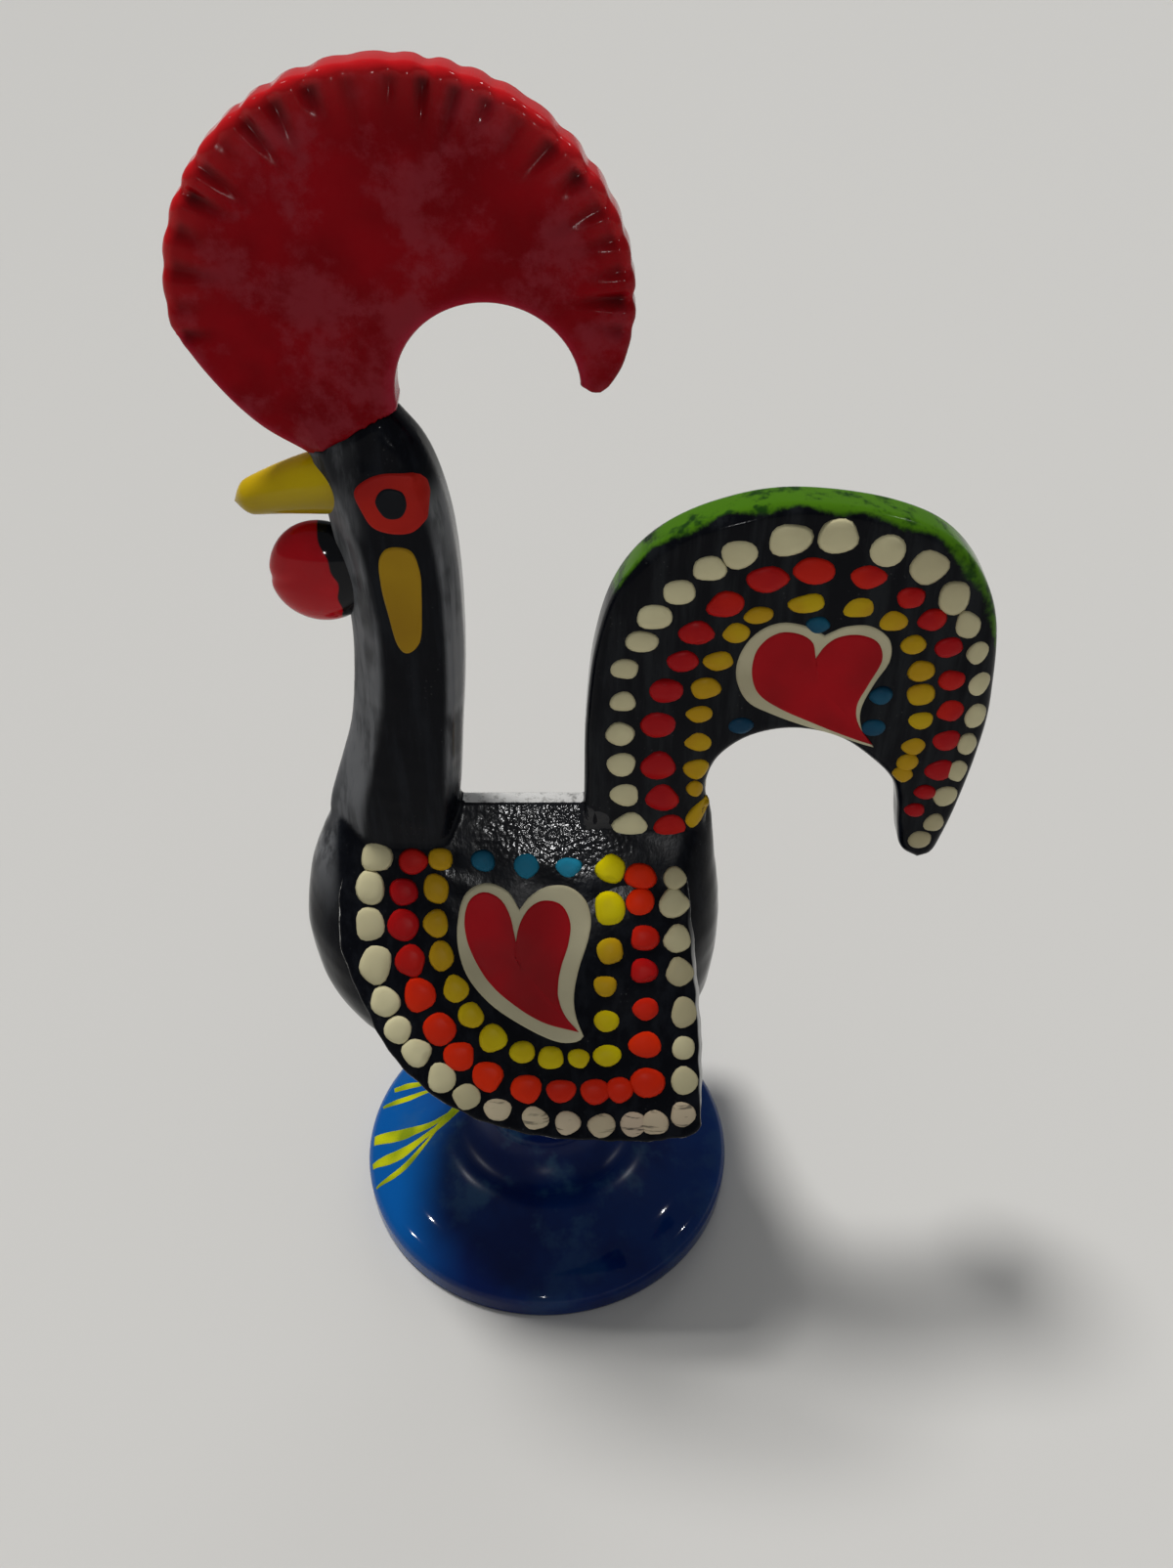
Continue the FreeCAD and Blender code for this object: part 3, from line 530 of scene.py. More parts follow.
print("enamels made:", len(bpy.data.materials))

# %% [markdown]
# ## Trunk, neck and head
# The black casting is a roof-shaped trunk with a flat-sided neck on it. Its sections are easy to write
# level by level: the trunk's are straight along the flanks and half round at the ends, and the neck's are
# flat boxes with bevels.

# %% Trunk and neck levels
RIDGE = 70.5
RIDGE_HALF = 0.8
FLARE = math.radians(31)
trunk_levels = np.array([
    # height, front, rear, half width
    (27.5, 9.5, 8.5, 7.8), (30.1, 14.2, 12.3, 8.9), (33.1, 18.7, 15.3, 10.1),
    (37.0, 22.8, 19.0, 11.3), (40.8, 25.6, 20.9, 12.2), (45.1, 27.4, 21.7, 12.5),
    (49.0, 28.1, 21.9, 12.1), (53.3, 28.3, 21.9, 11.0), (57.6, 27.7, 21.5, 8.45),
    (61.9, 26.6, 20.9, 5.87), (66.2, 25.0, 20.4, 3.30), (70.3, 23.0, 19.8, 0.85),
])
neck_levels = np.array([
    # height, front, rear, half thickness, front bevel along and across, rear bevel along and across
    (57.0, 22.6, 10.4, 2.9, 3.0, 1.8, 1.5, 1.5), (62.4, 23.7, 10.0, 3.3, 4.0, 2.3, 1.5, 1.8),
    (66.4, 24.1, 9.4, 3.6, 4.8, 2.8, 1.4, 2.2), (70.3, 23.7, 8.9, 3.85, 4.8, 3.1, 1.4, 2.4),
    (73.5, 22.75, 8.5, 4.0, 4.2, 3.3, 1.3, 2.5), (77.0, 21.6, 8.2, 4.15, 3.8, 3.4, 1.3, 2.5),
    (82.0, 20.1, 7.8, 4.25, 3.5, 3.4, 1.3, 2.5), (88.0, 19.15, 7.3, 4.3, 3.4, 3.4, 1.3, 2.5),
    (94.5, 18.65, 7.0, 4.3, 3.3, 3.3, 1.3, 2.5), (101.0, 18.9, 7.0, 4.3, 3.3, 3.1, 1.3, 2.4),
    (107.0, 19.4, 7.4, 4.3, 3.0, 2.9, 1.4, 2.4), (112.0, 20.0, 8.3, 3.95, 2.7, 2.5, 1.6, 2.2),
    (115.8, 20.6, 9.6, 3.15, 1.9, 1.9, 1.5, 1.8), (118.6, 20.9, 11.5, 2.55, 1.6, 1.4, 1.3, 1.4),
    (121.6, 21.1, 13.9, 2.1, 1.5, 1.1, 1.2, 1.1),
])


def with_ends(loops):
    """Closes a stack of loops: a first and a last row sit at the middles of the end loops."""
    first = np.broadcast_to(loops[0].mean(0), loops[0].shape)
    last = np.broadcast_to(loops[-1].mean(0), loops[-1].shape)
    return np.concatenate([first[None], loops, last[None]])


def trunk_surface(levels):
    """Each loop: a half circle of the flank's half width at the rear, one at the front, joined by
    straight flanks. Heights run up the rows."""
    height, front, rear, half = (levels[:, k, None] for k in range(4))
    turn = np.linspace(-np.pi / 2, np.pi / 2, 40)[None]
    x = np.concatenate([rear - half + half * np.cos(turn), -front + half - half * np.cos(turn)], axis=1)
    y = np.concatenate([half * np.sin(turn), -half * np.sin(turn)], axis=1)
    return with_ends(np.stack([x, y, np.broadcast_to(height, x.shape)], axis=-1))


trunk_rows = trunk_surface(smooth_path(trunk_levels, 60))
print("trunk grid", trunk_rows.shape)

# %% [markdown]
# The neck's loop is drawn by a spline whose control points sit on the sides of a bevelled box. Where
# three of them lie in line the side stays flat, and only the corners turn soft. Paint that lies on the
# neck has to follow the same bevels, so its side face is also written as a function of place.

# %% Neck
def neck_surface(levels):
    """Each loop: a box whose four corners are cut by bevels, with four control points on every side
    and a quadratic spline through them. A run of three points in line keeps a side straight."""
    z, front, rear, half, fx, fy, rx, ry = (levels[:, k] for k in range(8))
    corners = np.stack([
        np.stack([-front + fx, -half], -1), np.stack([-rear - rx, -half], -1),
        np.stack([-rear, -half + ry], -1), np.stack([-rear, half - ry], -1),
        np.stack([-rear - rx, half], -1), np.stack([-front + fx, half], -1),
        np.stack([-front, half - fy], -1), np.stack([-front, -half + fy], -1),
    ], axis=1)
    after = np.roll(corners, -1, axis=1)
    shares = np.array([0.12, 0.38, 0.62, 0.88])[None, None, :, None]
    control = (corners[:, :, None] + (after - corners)[:, :, None] * shares).reshape(len(levels), -1, 2)
    u = np.linspace(0, 1, 3, endpoint=False)[None, None, :, None]
    before, here, later = (np.roll(control, k, axis=1)[:, :, None] for k in (1, 0, -1))
    loop = 0.5 * (1 - u) ** 2 * before + (0.5 + u * (1 - u)) * here + 0.5 * u**2 * later
    loop = loop.reshape(len(levels), -1, 2)
    heights = np.broadcast_to(z[:, None, None], (*loop.shape[:2], 1))
    return with_ends(np.concatenate([loop, heights], axis=-1))


def neck_side(x, z):
    """Distance of the neck's side face from the middle plane. Over the bevels it falls away in a
    straight line, from the face's edge to the narrow front or rear face."""
    heights, *rest = neck_levels.T
    front, rear, half, fx, fy, rx, ry = (np.interp(z, heights, column) for column in rest)
    return half - np.maximum(fx - front - x, 0) * fy / fx - np.maximum(x + rear + rx, 0) * ry / rx


neck_rows = neck_surface(smooth_path(neck_levels, 90))
print("neck grid", neck_rows.shape)

# %% [markdown]
# The crown of the head is cut along the line on which the comb stands. The trunk, the neck and a stub
# where the tail stands are then joined by a voxel remesh, which fills them with small cubes of space and
# draws a new skin. It needs closed solids, so every stack of loops has its end rows.

# %% Join the casting
CROWN_RUN = 8.8
CROWN_DROP = 4.8
CROWN_LENGTH = math.hypot(CROWN_RUN, CROWN_DROP)
CROWN_FRONT = np.array([-20.5, 115.2])
CROWN_ALONG = np.array([CROWN_RUN, CROWN_DROP]) / CROWN_LENGTH
CROWN_OUT = np.array([-CROWN_ALONG[1], CROWN_ALONG[0]])
BODY_VOXEL = 0.32
tail_stub = np.array([
    # front, rear, half thickness, height
    (5.6, 19.2, 2.3, 60.0), (5.6, 19.2, 2.42, 66.0), (5.7, 19.1, 2.40, 71.0),
])


def cut_crown(grid):
    """Presses what rises over the crown's line down on to it, so that the head ends in a slanted face."""
    over = (grid[..., [0, 2]] - CROWN_FRONT) @ CROWN_OUT
    lowered = grid.copy()
    lowered[..., 2] -= np.maximum(over, 0) / CROWN_OUT[1]
    return lowered


def stub_surface(levels):
    """Each loop is a rectangle between front and rear, as thick as twice the half thickness."""
    front, rear, half, height = (levels[:, k, None] for k in range(4))
    corners = np.array([(0, -1), (1, -1), (1, 1), (0, 1)])
    x = front + (rear - front) * corners[:, 0]
    return with_ends(np.stack([x, half * corners[:, 1], np.broadcast_to(height, x.shape)], -1))


def joined_solid(name, grids, voxel):
    """Closed grids put together in one mesh and remade from small cubes of space."""
    quads, start = [], 0
    for grid in grids:
        quads.append(grid_quads(*grid.shape[:2]) + start)
        start += grid.shape[0] * grid.shape[1]
    points = np.concatenate([grid.reshape(-1, 3) for grid in grids])
    mesh = mesh_from(name + "_parts", points, np.concatenate(quads))
    holder = bpy.data.objects.new(name + "_parts", mesh)
    scene.collection.objects.link(holder)
    remesh = holder.modifiers.new("cubes", "REMESH")
    remesh.mode = "VOXEL"
    remesh.voxel_size = voxel * MM
    seen = holder.evaluated_get(bpy.context.evaluated_depsgraph_get())
    solid = bpy.data.meshes.new_from_object(seen)
    bpy.data.objects.remove(holder)
    bpy.data.meshes.remove(mesh)
    solid.name = name
    return solid


solids = [trunk_rows, cut_crown(neck_rows), stub_surface(tail_stub)]
body_mesh = joined_solid("body_casting", solids, BODY_VOXEL)
print("points of the joined casting:", len(body_mesh.vertices))

# %% [markdown]
# Smoothing moves each point towards the middle of its neighbours and then a little back, which rounds
# creases and keeps the size. The narrow ridge is held. Low hills along the normals then make the
# unevenness of a casting under thick paint, and the values for the material are worked out from place
# and direction.

# %% Smooth the casting
def relax(points, edges, rounds, share):
    """Each round moves a point towards the mean of its neighbours and then a little less far back."""
    count = np.bincount(edges.ravel(), minlength=len(points))[:, None]
    share = np.broadcast_to(share, len(points))[:, None]
    for turn in range(rounds * 2):
        total = np.stack([
            np.bincount(edges[:, 0], points[edges[:, 1], k], len(points))
            + np.bincount(edges[:, 1], points[edges[:, 0], k], len(points))
            for k in range(3)
        ], axis=1)
        step = 0.6 if turn % 2 == 0 else -0.52
        points = points + step * share * (total / count - points)
    return points


body_points = read(body_mesh.vertices, "co", 3) / MM
on_ridge = fade(body_points[:, 2], 68.6, 69.6) * (1 - fade(np.abs(body_points[:, 1]), 1.2, 2.2))
body_edges = read(body_mesh.edges, "vertices", 2, np.int32)
body_points = relax(body_points, body_edges, 9, 1 - 0.6 * on_ridge)
body_mesh.vertices.foreach_set("co", (body_points * MM).ravel())
body_mesh.update()
normals = read(body_mesh.vertex_normals, "vector", 3, np.float32)
hills = 0.045 * waves(body_points, 3, 7.0) + 0.02 * waves(body_points, 4, 3.2)
body_points = body_points + normals * (hills * (1 - on_ridge))[:, None]
body_mesh.vertices.foreach_set("co", (body_points * MM).ravel())

x, y, z = body_points.T
# The grey haze lies where the neck's bevels face forwards or backwards and on the front of the head:
# painted reflection there, partly dust.
on_neck = fade(z, 56, 66) * (1 - fade(z, 110, 113.5)) * (1 - fade(x, -8, -4))
forwards = fade(-normals[:, 0], 0.28, 0.62) * (1 - 0.8 * fade(-normals[:, 0], 0.9, 1.0))
backwards = fade(normals[:, 0], 0.15, 0.5) * fade(z, 72, 78)
on_cheek = 0.5 * fade(z, 106, 109) * (1 - fade(z, 116, 119)) * fade(-x, 15.2, 17.0)
set_values(body_mesh, {
    "crest": fade(z, 69.9, 70.35) * fade(normals[:, 2], 0.75, 0.95) * fade(x, -9.2, -8.4),
    "film_and_sheen": np.maximum(on_neck * np.maximum(forwards, backwards), on_cheek),
    "saddle": fade(z, 59.5, 65) * (1 - fade(np.hypot(0.8 * (x - 2.4), z - 69.5), 2.5, 10)),
})
shade_smooth(body_mesh)
body_mesh.materials.clear()
add_piece(body_mesh, "body", body_paint, replaces=["body"])

# %% [markdown]
# ## Comb
# The comb is a flat red fan that ends in a hook. Its outline is drawn once: an oval rim, the hook's round
# bight, the brow in front and the root on the head. A horn sheet then fills it, with sections from the
# outer rim to the inner edge, and the last one shrinks to the hook's tip.

# %% Comb outline
HOOK_RADIUS = 8.5
RIM_HALF_SIZES = (20.55, 19.95)
STATIONS = 520
crown_rear = CROWN_FRONT + CROWN_ALONG * CROWN_LENGTH
comb_centre = crown_rear + (1.1, 9.5)
hook_centre = crown_rear + (8.4, 1.2)
hook_tip = hook_centre + (1.215 * HOOK_RADIUS, 0.0)


def oval(first, last, count, half_sizes, centre):
    """Points of an oval from one angle to another: cosine and sine of the angle times the half sizes."""
    angle = np.radians(np.linspace(first, last, count))
    return np.stack([np.cos(angle), np.sin(angle)], axis=-1) * half_sizes + centre


def by_hook(across, up):
    """A place near the hook, given in radii of the hook from its centre."""
    return hook_centre + (across * HOOK_RADIUS, up * HOOK_RADIUS)


def horn_sheet(outer, inner, across):
    """Flat points between two edges: the share across runs from 0 on the outer edge to 1 on the inner
    edge, and is packed towards both edges by the law of a cosine."""
    share = 0.5 - 0.5 * np.cos(np.linspace(0, np.pi, across))
    return outer[:, None] + (inner - outer)[:, None] * share[None, :, None], share


comb_rim = oval(188, -8, 330, RIM_HALF_SIZES, comb_centre)
hook_back = smooth_path([comb_rim[-1], by_hook(1.45, 0.32), by_hook(1.31, 0.08), hook_tip], 34)
throat = oval(188.5, 4.6, 200, (HOOK_RADIUS, HOOK_RADIUS), hook_centre)
throat_end = smooth_path([throat[-1], by_hook(1.12, 0.0), hook_tip], 12)
chin = (-20.7, 115.0)
root = smooth_path([chin, (-18.4, 113.8), (-15.0, 114.6), (-12.6, 116.9), throat[0]], 60)
brow_points = [(-30.1, 125.4), (-28.9, 123.3), (-26.7, 120.2), (-24.0, 117.4)]
brow = smooth_path([comb_rim[0], *brow_points, chin], 60)
comb_outer = smooth_path(np.vstack([comb_rim, hook_back[1:]])[::3], STATIONS)
comb_inner = smooth_path(np.vstack([root, throat[1:], throat_end[1:]])[::3], STATIONS)
comb_outer[-1] = comb_inner[-1] = hook_tip
comb_flat, comb_share = horn_sheet(comb_outer, comb_inner, 56)
brow_at_share = [np.interp(comb_share, np.linspace(0, 1, 60), brow[:, k]) for k in range(2)]
brow_bow = np.stack(brow_at_share, -1) - comb_flat[0]
bow = np.interp(np.linspace(0, 1, STATIONS), [0, 0.12], [1, 0])[:, None, None]
comb_flat = comb_flat + bow * brow_bow[None]
print("comb sheet", comb_flat.shape)

# %% [markdown]
# The rim is pinched into flutes, as if between finger and thumb. Their phase runs on with the angle
# round the fan and is bent by a sine wave, because no two flutes are equally wide. A flute is deepest
# just inside the rim and dies out as a bell curve.

# %% Flutes
FLUTES = 23
FLUTE_FIRST = 196
FLUTE_SPAN = 204
inner_but_hidden = comb_inner[::-1][: -int(STATIONS * 0.2)]
visible_edge = np.vstack([root[:1], brow[::-1], comb_outer, inner_but_hidden])
comb_depth = distance_to(comb_flat, visible_edge[::2])
rim_depth = distance_to(comb_flat, comb_outer[::2])
away = comb_flat - comb_centre
rim_angle = np.degrees(np.arctan2(away[..., 1], away[..., 0]))
rim_angle = np.where(rim_angle < -90, rim_angle + 360, rim_angle)
turns = (FLUTE_FIRST - rim_angle) / FLUTE_SPAN * 2 * np.pi
phase = turns * FLUTES + 0.9 * np.sin(turns * 3.3)
around = fade(rim_angle, -14, -2) * (1 - fade(rim_angle, 186, 192))
valley = (0.5 + 0.5 * np.cos(phase)) ** 1.5
valley = valley * (0.72 + 0.28 * np.sin(phase * 0.231 + 0.8) + 0.15 * np.sin(phase * 0.413))
reach = 2.5 + 0.9 * np.sin(phase * 0.37 + 1.0)
fluted = valley * bump(rim_depth - 0.9, reach) * fade(rim_depth, -0.5, 0.9) * around
print("deepest flute as a share:", round(float(fluted.max()), 2))

# %% [markdown]
# The height of a face at a point is the plate's half thickness, rounded near the outline, lowered in the
# flutes, and spread towards the head at the root. The mesh goes round the sheet: over the near face and
# back over the far one. It leaves two open ends, the brow and the hook's tip, and a row in the middle of
# the thickness closes both.

# %% Comb faces
COMB_HALF = 1.9
COMB_EDGE = 0.85
FLUTE_DEPTH = 0.60


def upright(flat, y):
    """A flat point of the middle plane with its distance to the side."""
    return np.stack([flat[..., 0], y, flat[..., 1]], axis=-1)


def two_faced(flat, half):
    """Loops over both faces of a sheet, with a row at each end in which the faces meet in the middle."""
    loops = np.concatenate([upright(flat, -half), upright(flat, half)[:, ::-1]], axis=1)
    return closed_ends(loops)


def closed_ends(loops):
    """Adds a row at each end that lies half way between the two faces of the last loop."""
    across = loops.shape[1] // 2
    first, last = (0.5 * (row[:across] + row[across:][::-1]) for row in (loops[0], loops[-1]))
    first, last = (np.concatenate([middle, middle[::-1]])[None] for middle in (first, last))
    return np.concatenate([first, loops, last])


def on_both_faces(values):
    """The values of a sheet for both faces and for the two rows that close its ends."""
    both = np.concatenate([values, values[:, ::-1]], axis=1)
    return np.concatenate([both[:1], both, both[-1:]])


def hilly(flat, half, coarse, fine):
    """Two sizes of hills, each given by its height, its seed and its length, and both lowered a little
    so that they hardly rise over the plate."""
    place = upright(flat, half)
    return sum(height * waves(place, seed, size) for height, seed, size in (coarse, fine)) - 0.03


over_crown = (comb_flat - CROWN_FRONT) @ CROWN_OUT
along_crown = (comb_flat - CROWN_FRONT) @ CROWN_ALONG
over_head = 1 - fade(along_crown, 10.5, 13.5)
root_half = np.interp(along_crown, [0, 1.8, 4.0, 10.0], [1.5, 2.75, 2.8, 2.2])
comb_half = COMB_HALF + (root_half - COMB_HALF) * (1 - fade(over_crown, -0.3, 5.5)) * over_head
comb_half -= COMB_EDGE * (1 - rounded(comb_depth, COMB_EDGE)) * (1 - fade(comb_depth, 0.8, 1.0))
comb_half -= FLUTE_DEPTH * fluted
hidden = fade(-over_crown, 0.0, 0.9) * over_head
comb_half = comb_half * (1 - hidden) + 0.5 * hidden
comb_half += hilly(comb_flat, comb_half, (0.05, 11, 8.0), (0.02, 12, 3.0)) * fade(comb_depth, 0.2, 1.5)
scallop = 0.26 * (valley - 0.5) * np.exp(-rim_depth / 0.8) * around
away = away / np.maximum(np.linalg.norm(away, axis=-1, keepdims=True), 1e-6)
comb_flat = comb_flat - away * scallop[..., None]
comb_rows = two_faced(comb_flat, comb_half)
print("comb grid", comb_rows.shape, "thinnest", round(float(comb_half.min()) * 2, 2), "mm")

# %% [markdown]
# The comb is brushed with a deep red. Painted light makes it brightest along the top of the rim,
# painted shade makes it nearly black in the flutes, and a painted highlight runs along its thin edges.
# Milky patches of painted reflection lie over it. Three values on the mesh say where the rim, the
# flutes and the thin edges are, so the colours follow the shape exactly.

# %% Comb enamel
# Painted light: the rim is brightest near the top of the comb, where light falls on it.
rim_painted_light = np.maximum(bump(rim_depth, 0.9), 0.3 * bump(rim_depth, 3.0)) * around
rim_painted_light = rim_painted_light * fade(comb_flat[..., 1], 122, 138) * (0.4 + 0.6 * fade(rim_angle, 2, 45))
# Painted highlight along the thin brow and throat edges.
thin_edge = np.minimum(distance_to(comb_flat, brow[::2]), distance_to(comb_flat, throat[::3]))
# Values for the paint: painted light on the rim, painted shade in the flutes, a painted highlight on the
# thin edges.
comb_values = {
    "rim_painted_light": on_both_faces(rim_painted_light),
    "valley": on_both_faces(fluted * fade(rim_depth, 0.5, 1.3)),
    "edge_highlight": on_both_faces(bump(thin_edge, 0.75)),
}


def comb_enamel():
    """Two reds by large clouds, then milky patches of painted reflection, a painted highlight on the thin
    edges, painted light along the rim and painted shade in the flutes.
    """
    paint = Paint("red_enamel_comb", specular=0.045)
    skin = paint.effect(skin_group, Peel=0.3, Runs=1.3, Brush_Marks=0.35)
    # Painted reflection: milky patches over the red.
    film_and_sheen = paint.range(paint.stretch(paint.noise(150.0, 6.0, 0.66), 0.47, 0.62), 0.0, 0.60)
    colour = paint.mix(skin["Cloud"], (0.185, 0.0008, 0.0036), (0.270, 0.0014, 0.0055))
    colour = paint.mix(film_and_sheen, colour, (0.270, 0.027, 0.040))
    # A painted highlight on the thin edges, painted light on the rim and painted shade in the flutes.
    colour = paint.mix(paint.range(paint.value("edge_highlight"), 0.0, 0.5), colour, (0.420, 0.020, 0.050))
    colour = paint.mix(paint.value("rim_painted_light"), colour, (0.60, 0.006, 0.010))
    colour = paint.mix(paint.value("valley"), colour, (0.075, 0.0012, 0.0025))
    gleam = paint.range(paint.value("rim_painted_light"), 0.045, 0.26)
    paint.put(gleam, paint.shader["Specular IOR Level"])
    return paint.finish(colour, paint.range(skin["Cloud"], 0.10, 0.2), skin["Height"], 0.06)


add_piece(mesh_of("comb_fan", comb_rows, comb_values), "comb", comb_enamel(), replaces=["comb"])

# %% [markdown]
# ## Beak and wattle
# The beak is a slightly drooping cone with a round tip, a little flatter than it is high. It is lit from
# above, and its underside is darkened to an ochre as painted shade, by a value that counts down from its
# middle line.

# %% Beak
BEAK_LENGTH = 10.7
BEAK_DROOP = math.radians(12.5)
BEAK_ROOT = np.array([-18.2, 0.0, 111.5])


def beak_surface(rows, columns):
    """Round sections along a line that droops: their radius falls from root to tip by a soft law and
    closes as a circle at the tip. Sections are 0.86 as wide as they are high."""
    share = np.sin(np.linspace(0, np.pi / 2, rows))
    radius = (3.45 - 1.95 * share**1.2) * np.sqrt(1 - fade(share, 0.80, 1.0) ** 2 * 0.999)
    radius[-1] = 0.0
    turn = np.linspace(0, 2 * np.pi, columns, endpoint=False)
    along = share * BEAK_LENGTH
    sag = 0.25 * np.sin(share * np.pi)
    line = np.stack([-along * math.cos(BEAK_DROOP), 0 * along, sag - along * math.sin(BEAK_DROOP)], -1)
    up = np.array([-math.sin(BEAK_DROOP), 0, math.cos(BEAK_DROOP)])
    side = np.array([0, 0.86, 0])
    ring = np.cos(turn)[:, None] * up + np.sin(turn)[:, None] * side
    loops = (BEAK_ROOT + line)[:, None] + radius[:, None, None] * ring[None]
    return np.concatenate([np.broadcast_to(loops[0].mean(0), loops[0].shape)[None], loops])


def beak_enamel():
    """Two yellows by clouds, and a darker ochre as painted shade on the underside, by the value shade."""
    paint = Paint("yellow_enamel_beak", specular=0.2)
    skin = paint.effect(skin_group, Peel=0.25, Runs=1.0, Brush_Marks=0.1)
    colour = paint.mix(skin["Cloud"], (0.70, 0.50, 0.001), (0.60, 0.40, 0.002))
    # Painted shade on the beak's underside.
    colour = paint.mix(paint.range(paint.value("shade"), 0.0, 0.9), colour, (0.27, 0.19, 0.006))
    return paint.finish(colour, paint.range(skin["Cloud"], 0.08, 0.16), skin["Height"], 0.04)


beak_rows = beak_surface(48, 56)
# Painted shade: darker below the beak's middle line and towards its root.
beak_shade = fade(111.0 - beak_rows[..., 2] + 0.25 * (beak_rows[..., 0] + 24), -2.2, 2.4)
add_piece(mesh_of("beak_cone", beak_rows, {"shade": beak_shade}), "beak", beak_enamel(), replaces=["beak"])

# %% [markdown]
# The wattle is a bead pressed flat under the beak. Its root by the neck is painted black along a slanted,
# slightly wavy line: a value on the mesh counts the way from the front, and the paint changes at one
# number of it.

# %% Wattle
WATTLE_HALF_SIZES = np.array([5.2, 2.85, 5.7])
WATTLE_PLACE = np.array([-21.1, 0.0, 101.1])


def wattle_surface(rows, columns):
    """A ball squeezed to three half sizes, slightly fuller below, with a shallow groove across it."""
    up = np.linspace(-np.pi / 2, np.pi / 2, rows)[:, None]
    turn = np.linspace(0, 2 * np.pi, columns, endpoint=False)[None]
    ball = np.stack([np.cos(up) * np.cos(turn), np.cos(up) * np.sin(turn), np.sin(up) + 0 * turn], -1)
    bead = ball * WATTLE_HALF_SIZES
    x, z = bead[..., 0], bead[..., 2]
    groove = 1 - 0.035 * bump(z - 0.9 - 0.25 * x, 0.7) * fade(-x, -2.0, 2.5)
    bead[..., :2] *= ((1 + 0.05 * (1 - fade(z, -4, 3))) * groove)[..., None]
    return bead + WATTLE_PLACE


def wattle_enamel():
    """Two reds by clouds, and black where the value from_front is past the line of the root."""
    paint = Paint("wattle_with_black_root", specular=0.2)
    skin = paint.effect(skin_group, Peel=0.2, Runs=0.8, Brush_Marks=0.1)
    red = paint.mix(skin["Cloud"], (0.38, 0.0010, 0.006), (0.50, 0.0015, 0.008))
    colour = paint.mix(paint.stretch(paint.value("from_front"), -19.3, -19.1), red, BLACK)
    return paint.finish(colour, paint.range(skin["Cloud"], 0.06, 0.12), skin["Height"], 0.025)


wattle_rows = wattle_surface(72, 96)
x, y, z = np.moveaxis(wattle_rows, -1, 0)
from_front = x + 0.34 * np.maximum(z - 101.5, 0) + 0.12 * np.sin(z * 2.1)
wattle_mesh = mesh_of("wattle_bead", wattle_rows, {"from_front": from_front})
add_piece(wattle_mesh, "wattle", wattle_enamel(), replaces=["wattle"])

# %% [markdown]
# ## Wings
# A wing is a flat plate that lies on the flank and flares out below it. Its outline is drawn on the
# plate: x runs along the bird, and the second number is the distance down the slope from the ridge. Two
# sine waves, one times the other, make it as uneven as a cast edge.

# %% Wing outline
WING_MIDDLE = np.array([-1.5, 24.0])


def outline_of(*curves, count=60):
    """A closed outline from curves that meet in sharp corners. count says how many points each curve
    gets, or gives one number for every curve."""
    counts = [count] * len(curves) if isinstance(count, int) else count
    return np.vstack([smooth_path(curve, n)[:-1] for curve, n in zip(curves, counts)])


wing_sweep = [
    (-22.6, 6.4), (-23.2, 14.0), (-22.8, 18.8), (-20.0, 26.0), (-17.4, 31.0),
    (-12.9, 35.8), (-8.3, 38.6), (-3.7, 40.3), (1.5, 41.4), (8.0, 41.8),
]
wing_hem = [
    (8.0, 41.8), (13.0, 41.85), (14.6, 41.8), (15.6, 41.45), (17.4, 41.35), (18.7, 40.9), (19.4, 39.8),
]
wing_back = [(19.4, 39.8), (19.4, 30.0), (18.6, 20.0), (17.1, 6.3)]
wing_top = [(17.1, 6.3), (5.0, 6.2), (-8.0, 6.2), (-22.6, 6.4)]
wing_outline = outline_of(wing_sweep, wing_hem, wing_back, wing_top, count=(150, 50, 90, 90))
number = np.arange(len(wing_outline))
nick = 0.10 * np.sin(number * 0.55) * np.sin(number * 0.137)
outward = wing_outline - WING_MIDDLE
wing_outline = wing_outline + outward / np.linalg.norm(outward, axis=1)[:, None] * nick[:, None]
print("points of the wing's outline:", len(wing_outline))

# %% [markdown]
# The outline can be seen whole from one point inside, so the plate is a fan: columns go round the
# outline, and rows go from the middle of the outer face, over the rounded edge, along the wall and back
# to the middle of the inner face. The value `edge` counts the way from the edge for the worn paint.

# %% Wing plates
WING_THICKNESS = 2.2
WING_EDGE = 0.5
FACE_DEPTHS = [60, 18, 13, 9, 6.5, 4.5, 3.2, 2.2, 1.5, 1.0, 0.7, 0.5, 0.36, 0.24, 0.14, 0.06, 0.0]


def on_wing(side):
    """Turns (x, distance down the slope) and a height over the outer face into a place on the bird."""
    def place(flat, height):
        y = side * (RIDGE_HALF + flat[..., 1] * math.sin(FLARE) + height * math.cos(FLARE))
        z = RIDGE - flat[..., 1] * math.cos(FLARE) + height * math.sin(FLARE)
        return np.stack([flat[..., 0], y, z], axis=-1)
    return place


def fan_rows(outline, middle, depths):
    """Rows of a fan: each row lies a depth in millimetres inside the outline, measured towards the
    middle, and the last row is the middle itself."""
    spoke = middle - outline
    length = np.linalg.norm(spoke, axis=1)[:, None]
    share = np.minimum(np.asarray(depths)[:, None, None] / length[None], 1.0)
    return outline[None] + spoke[None] * share


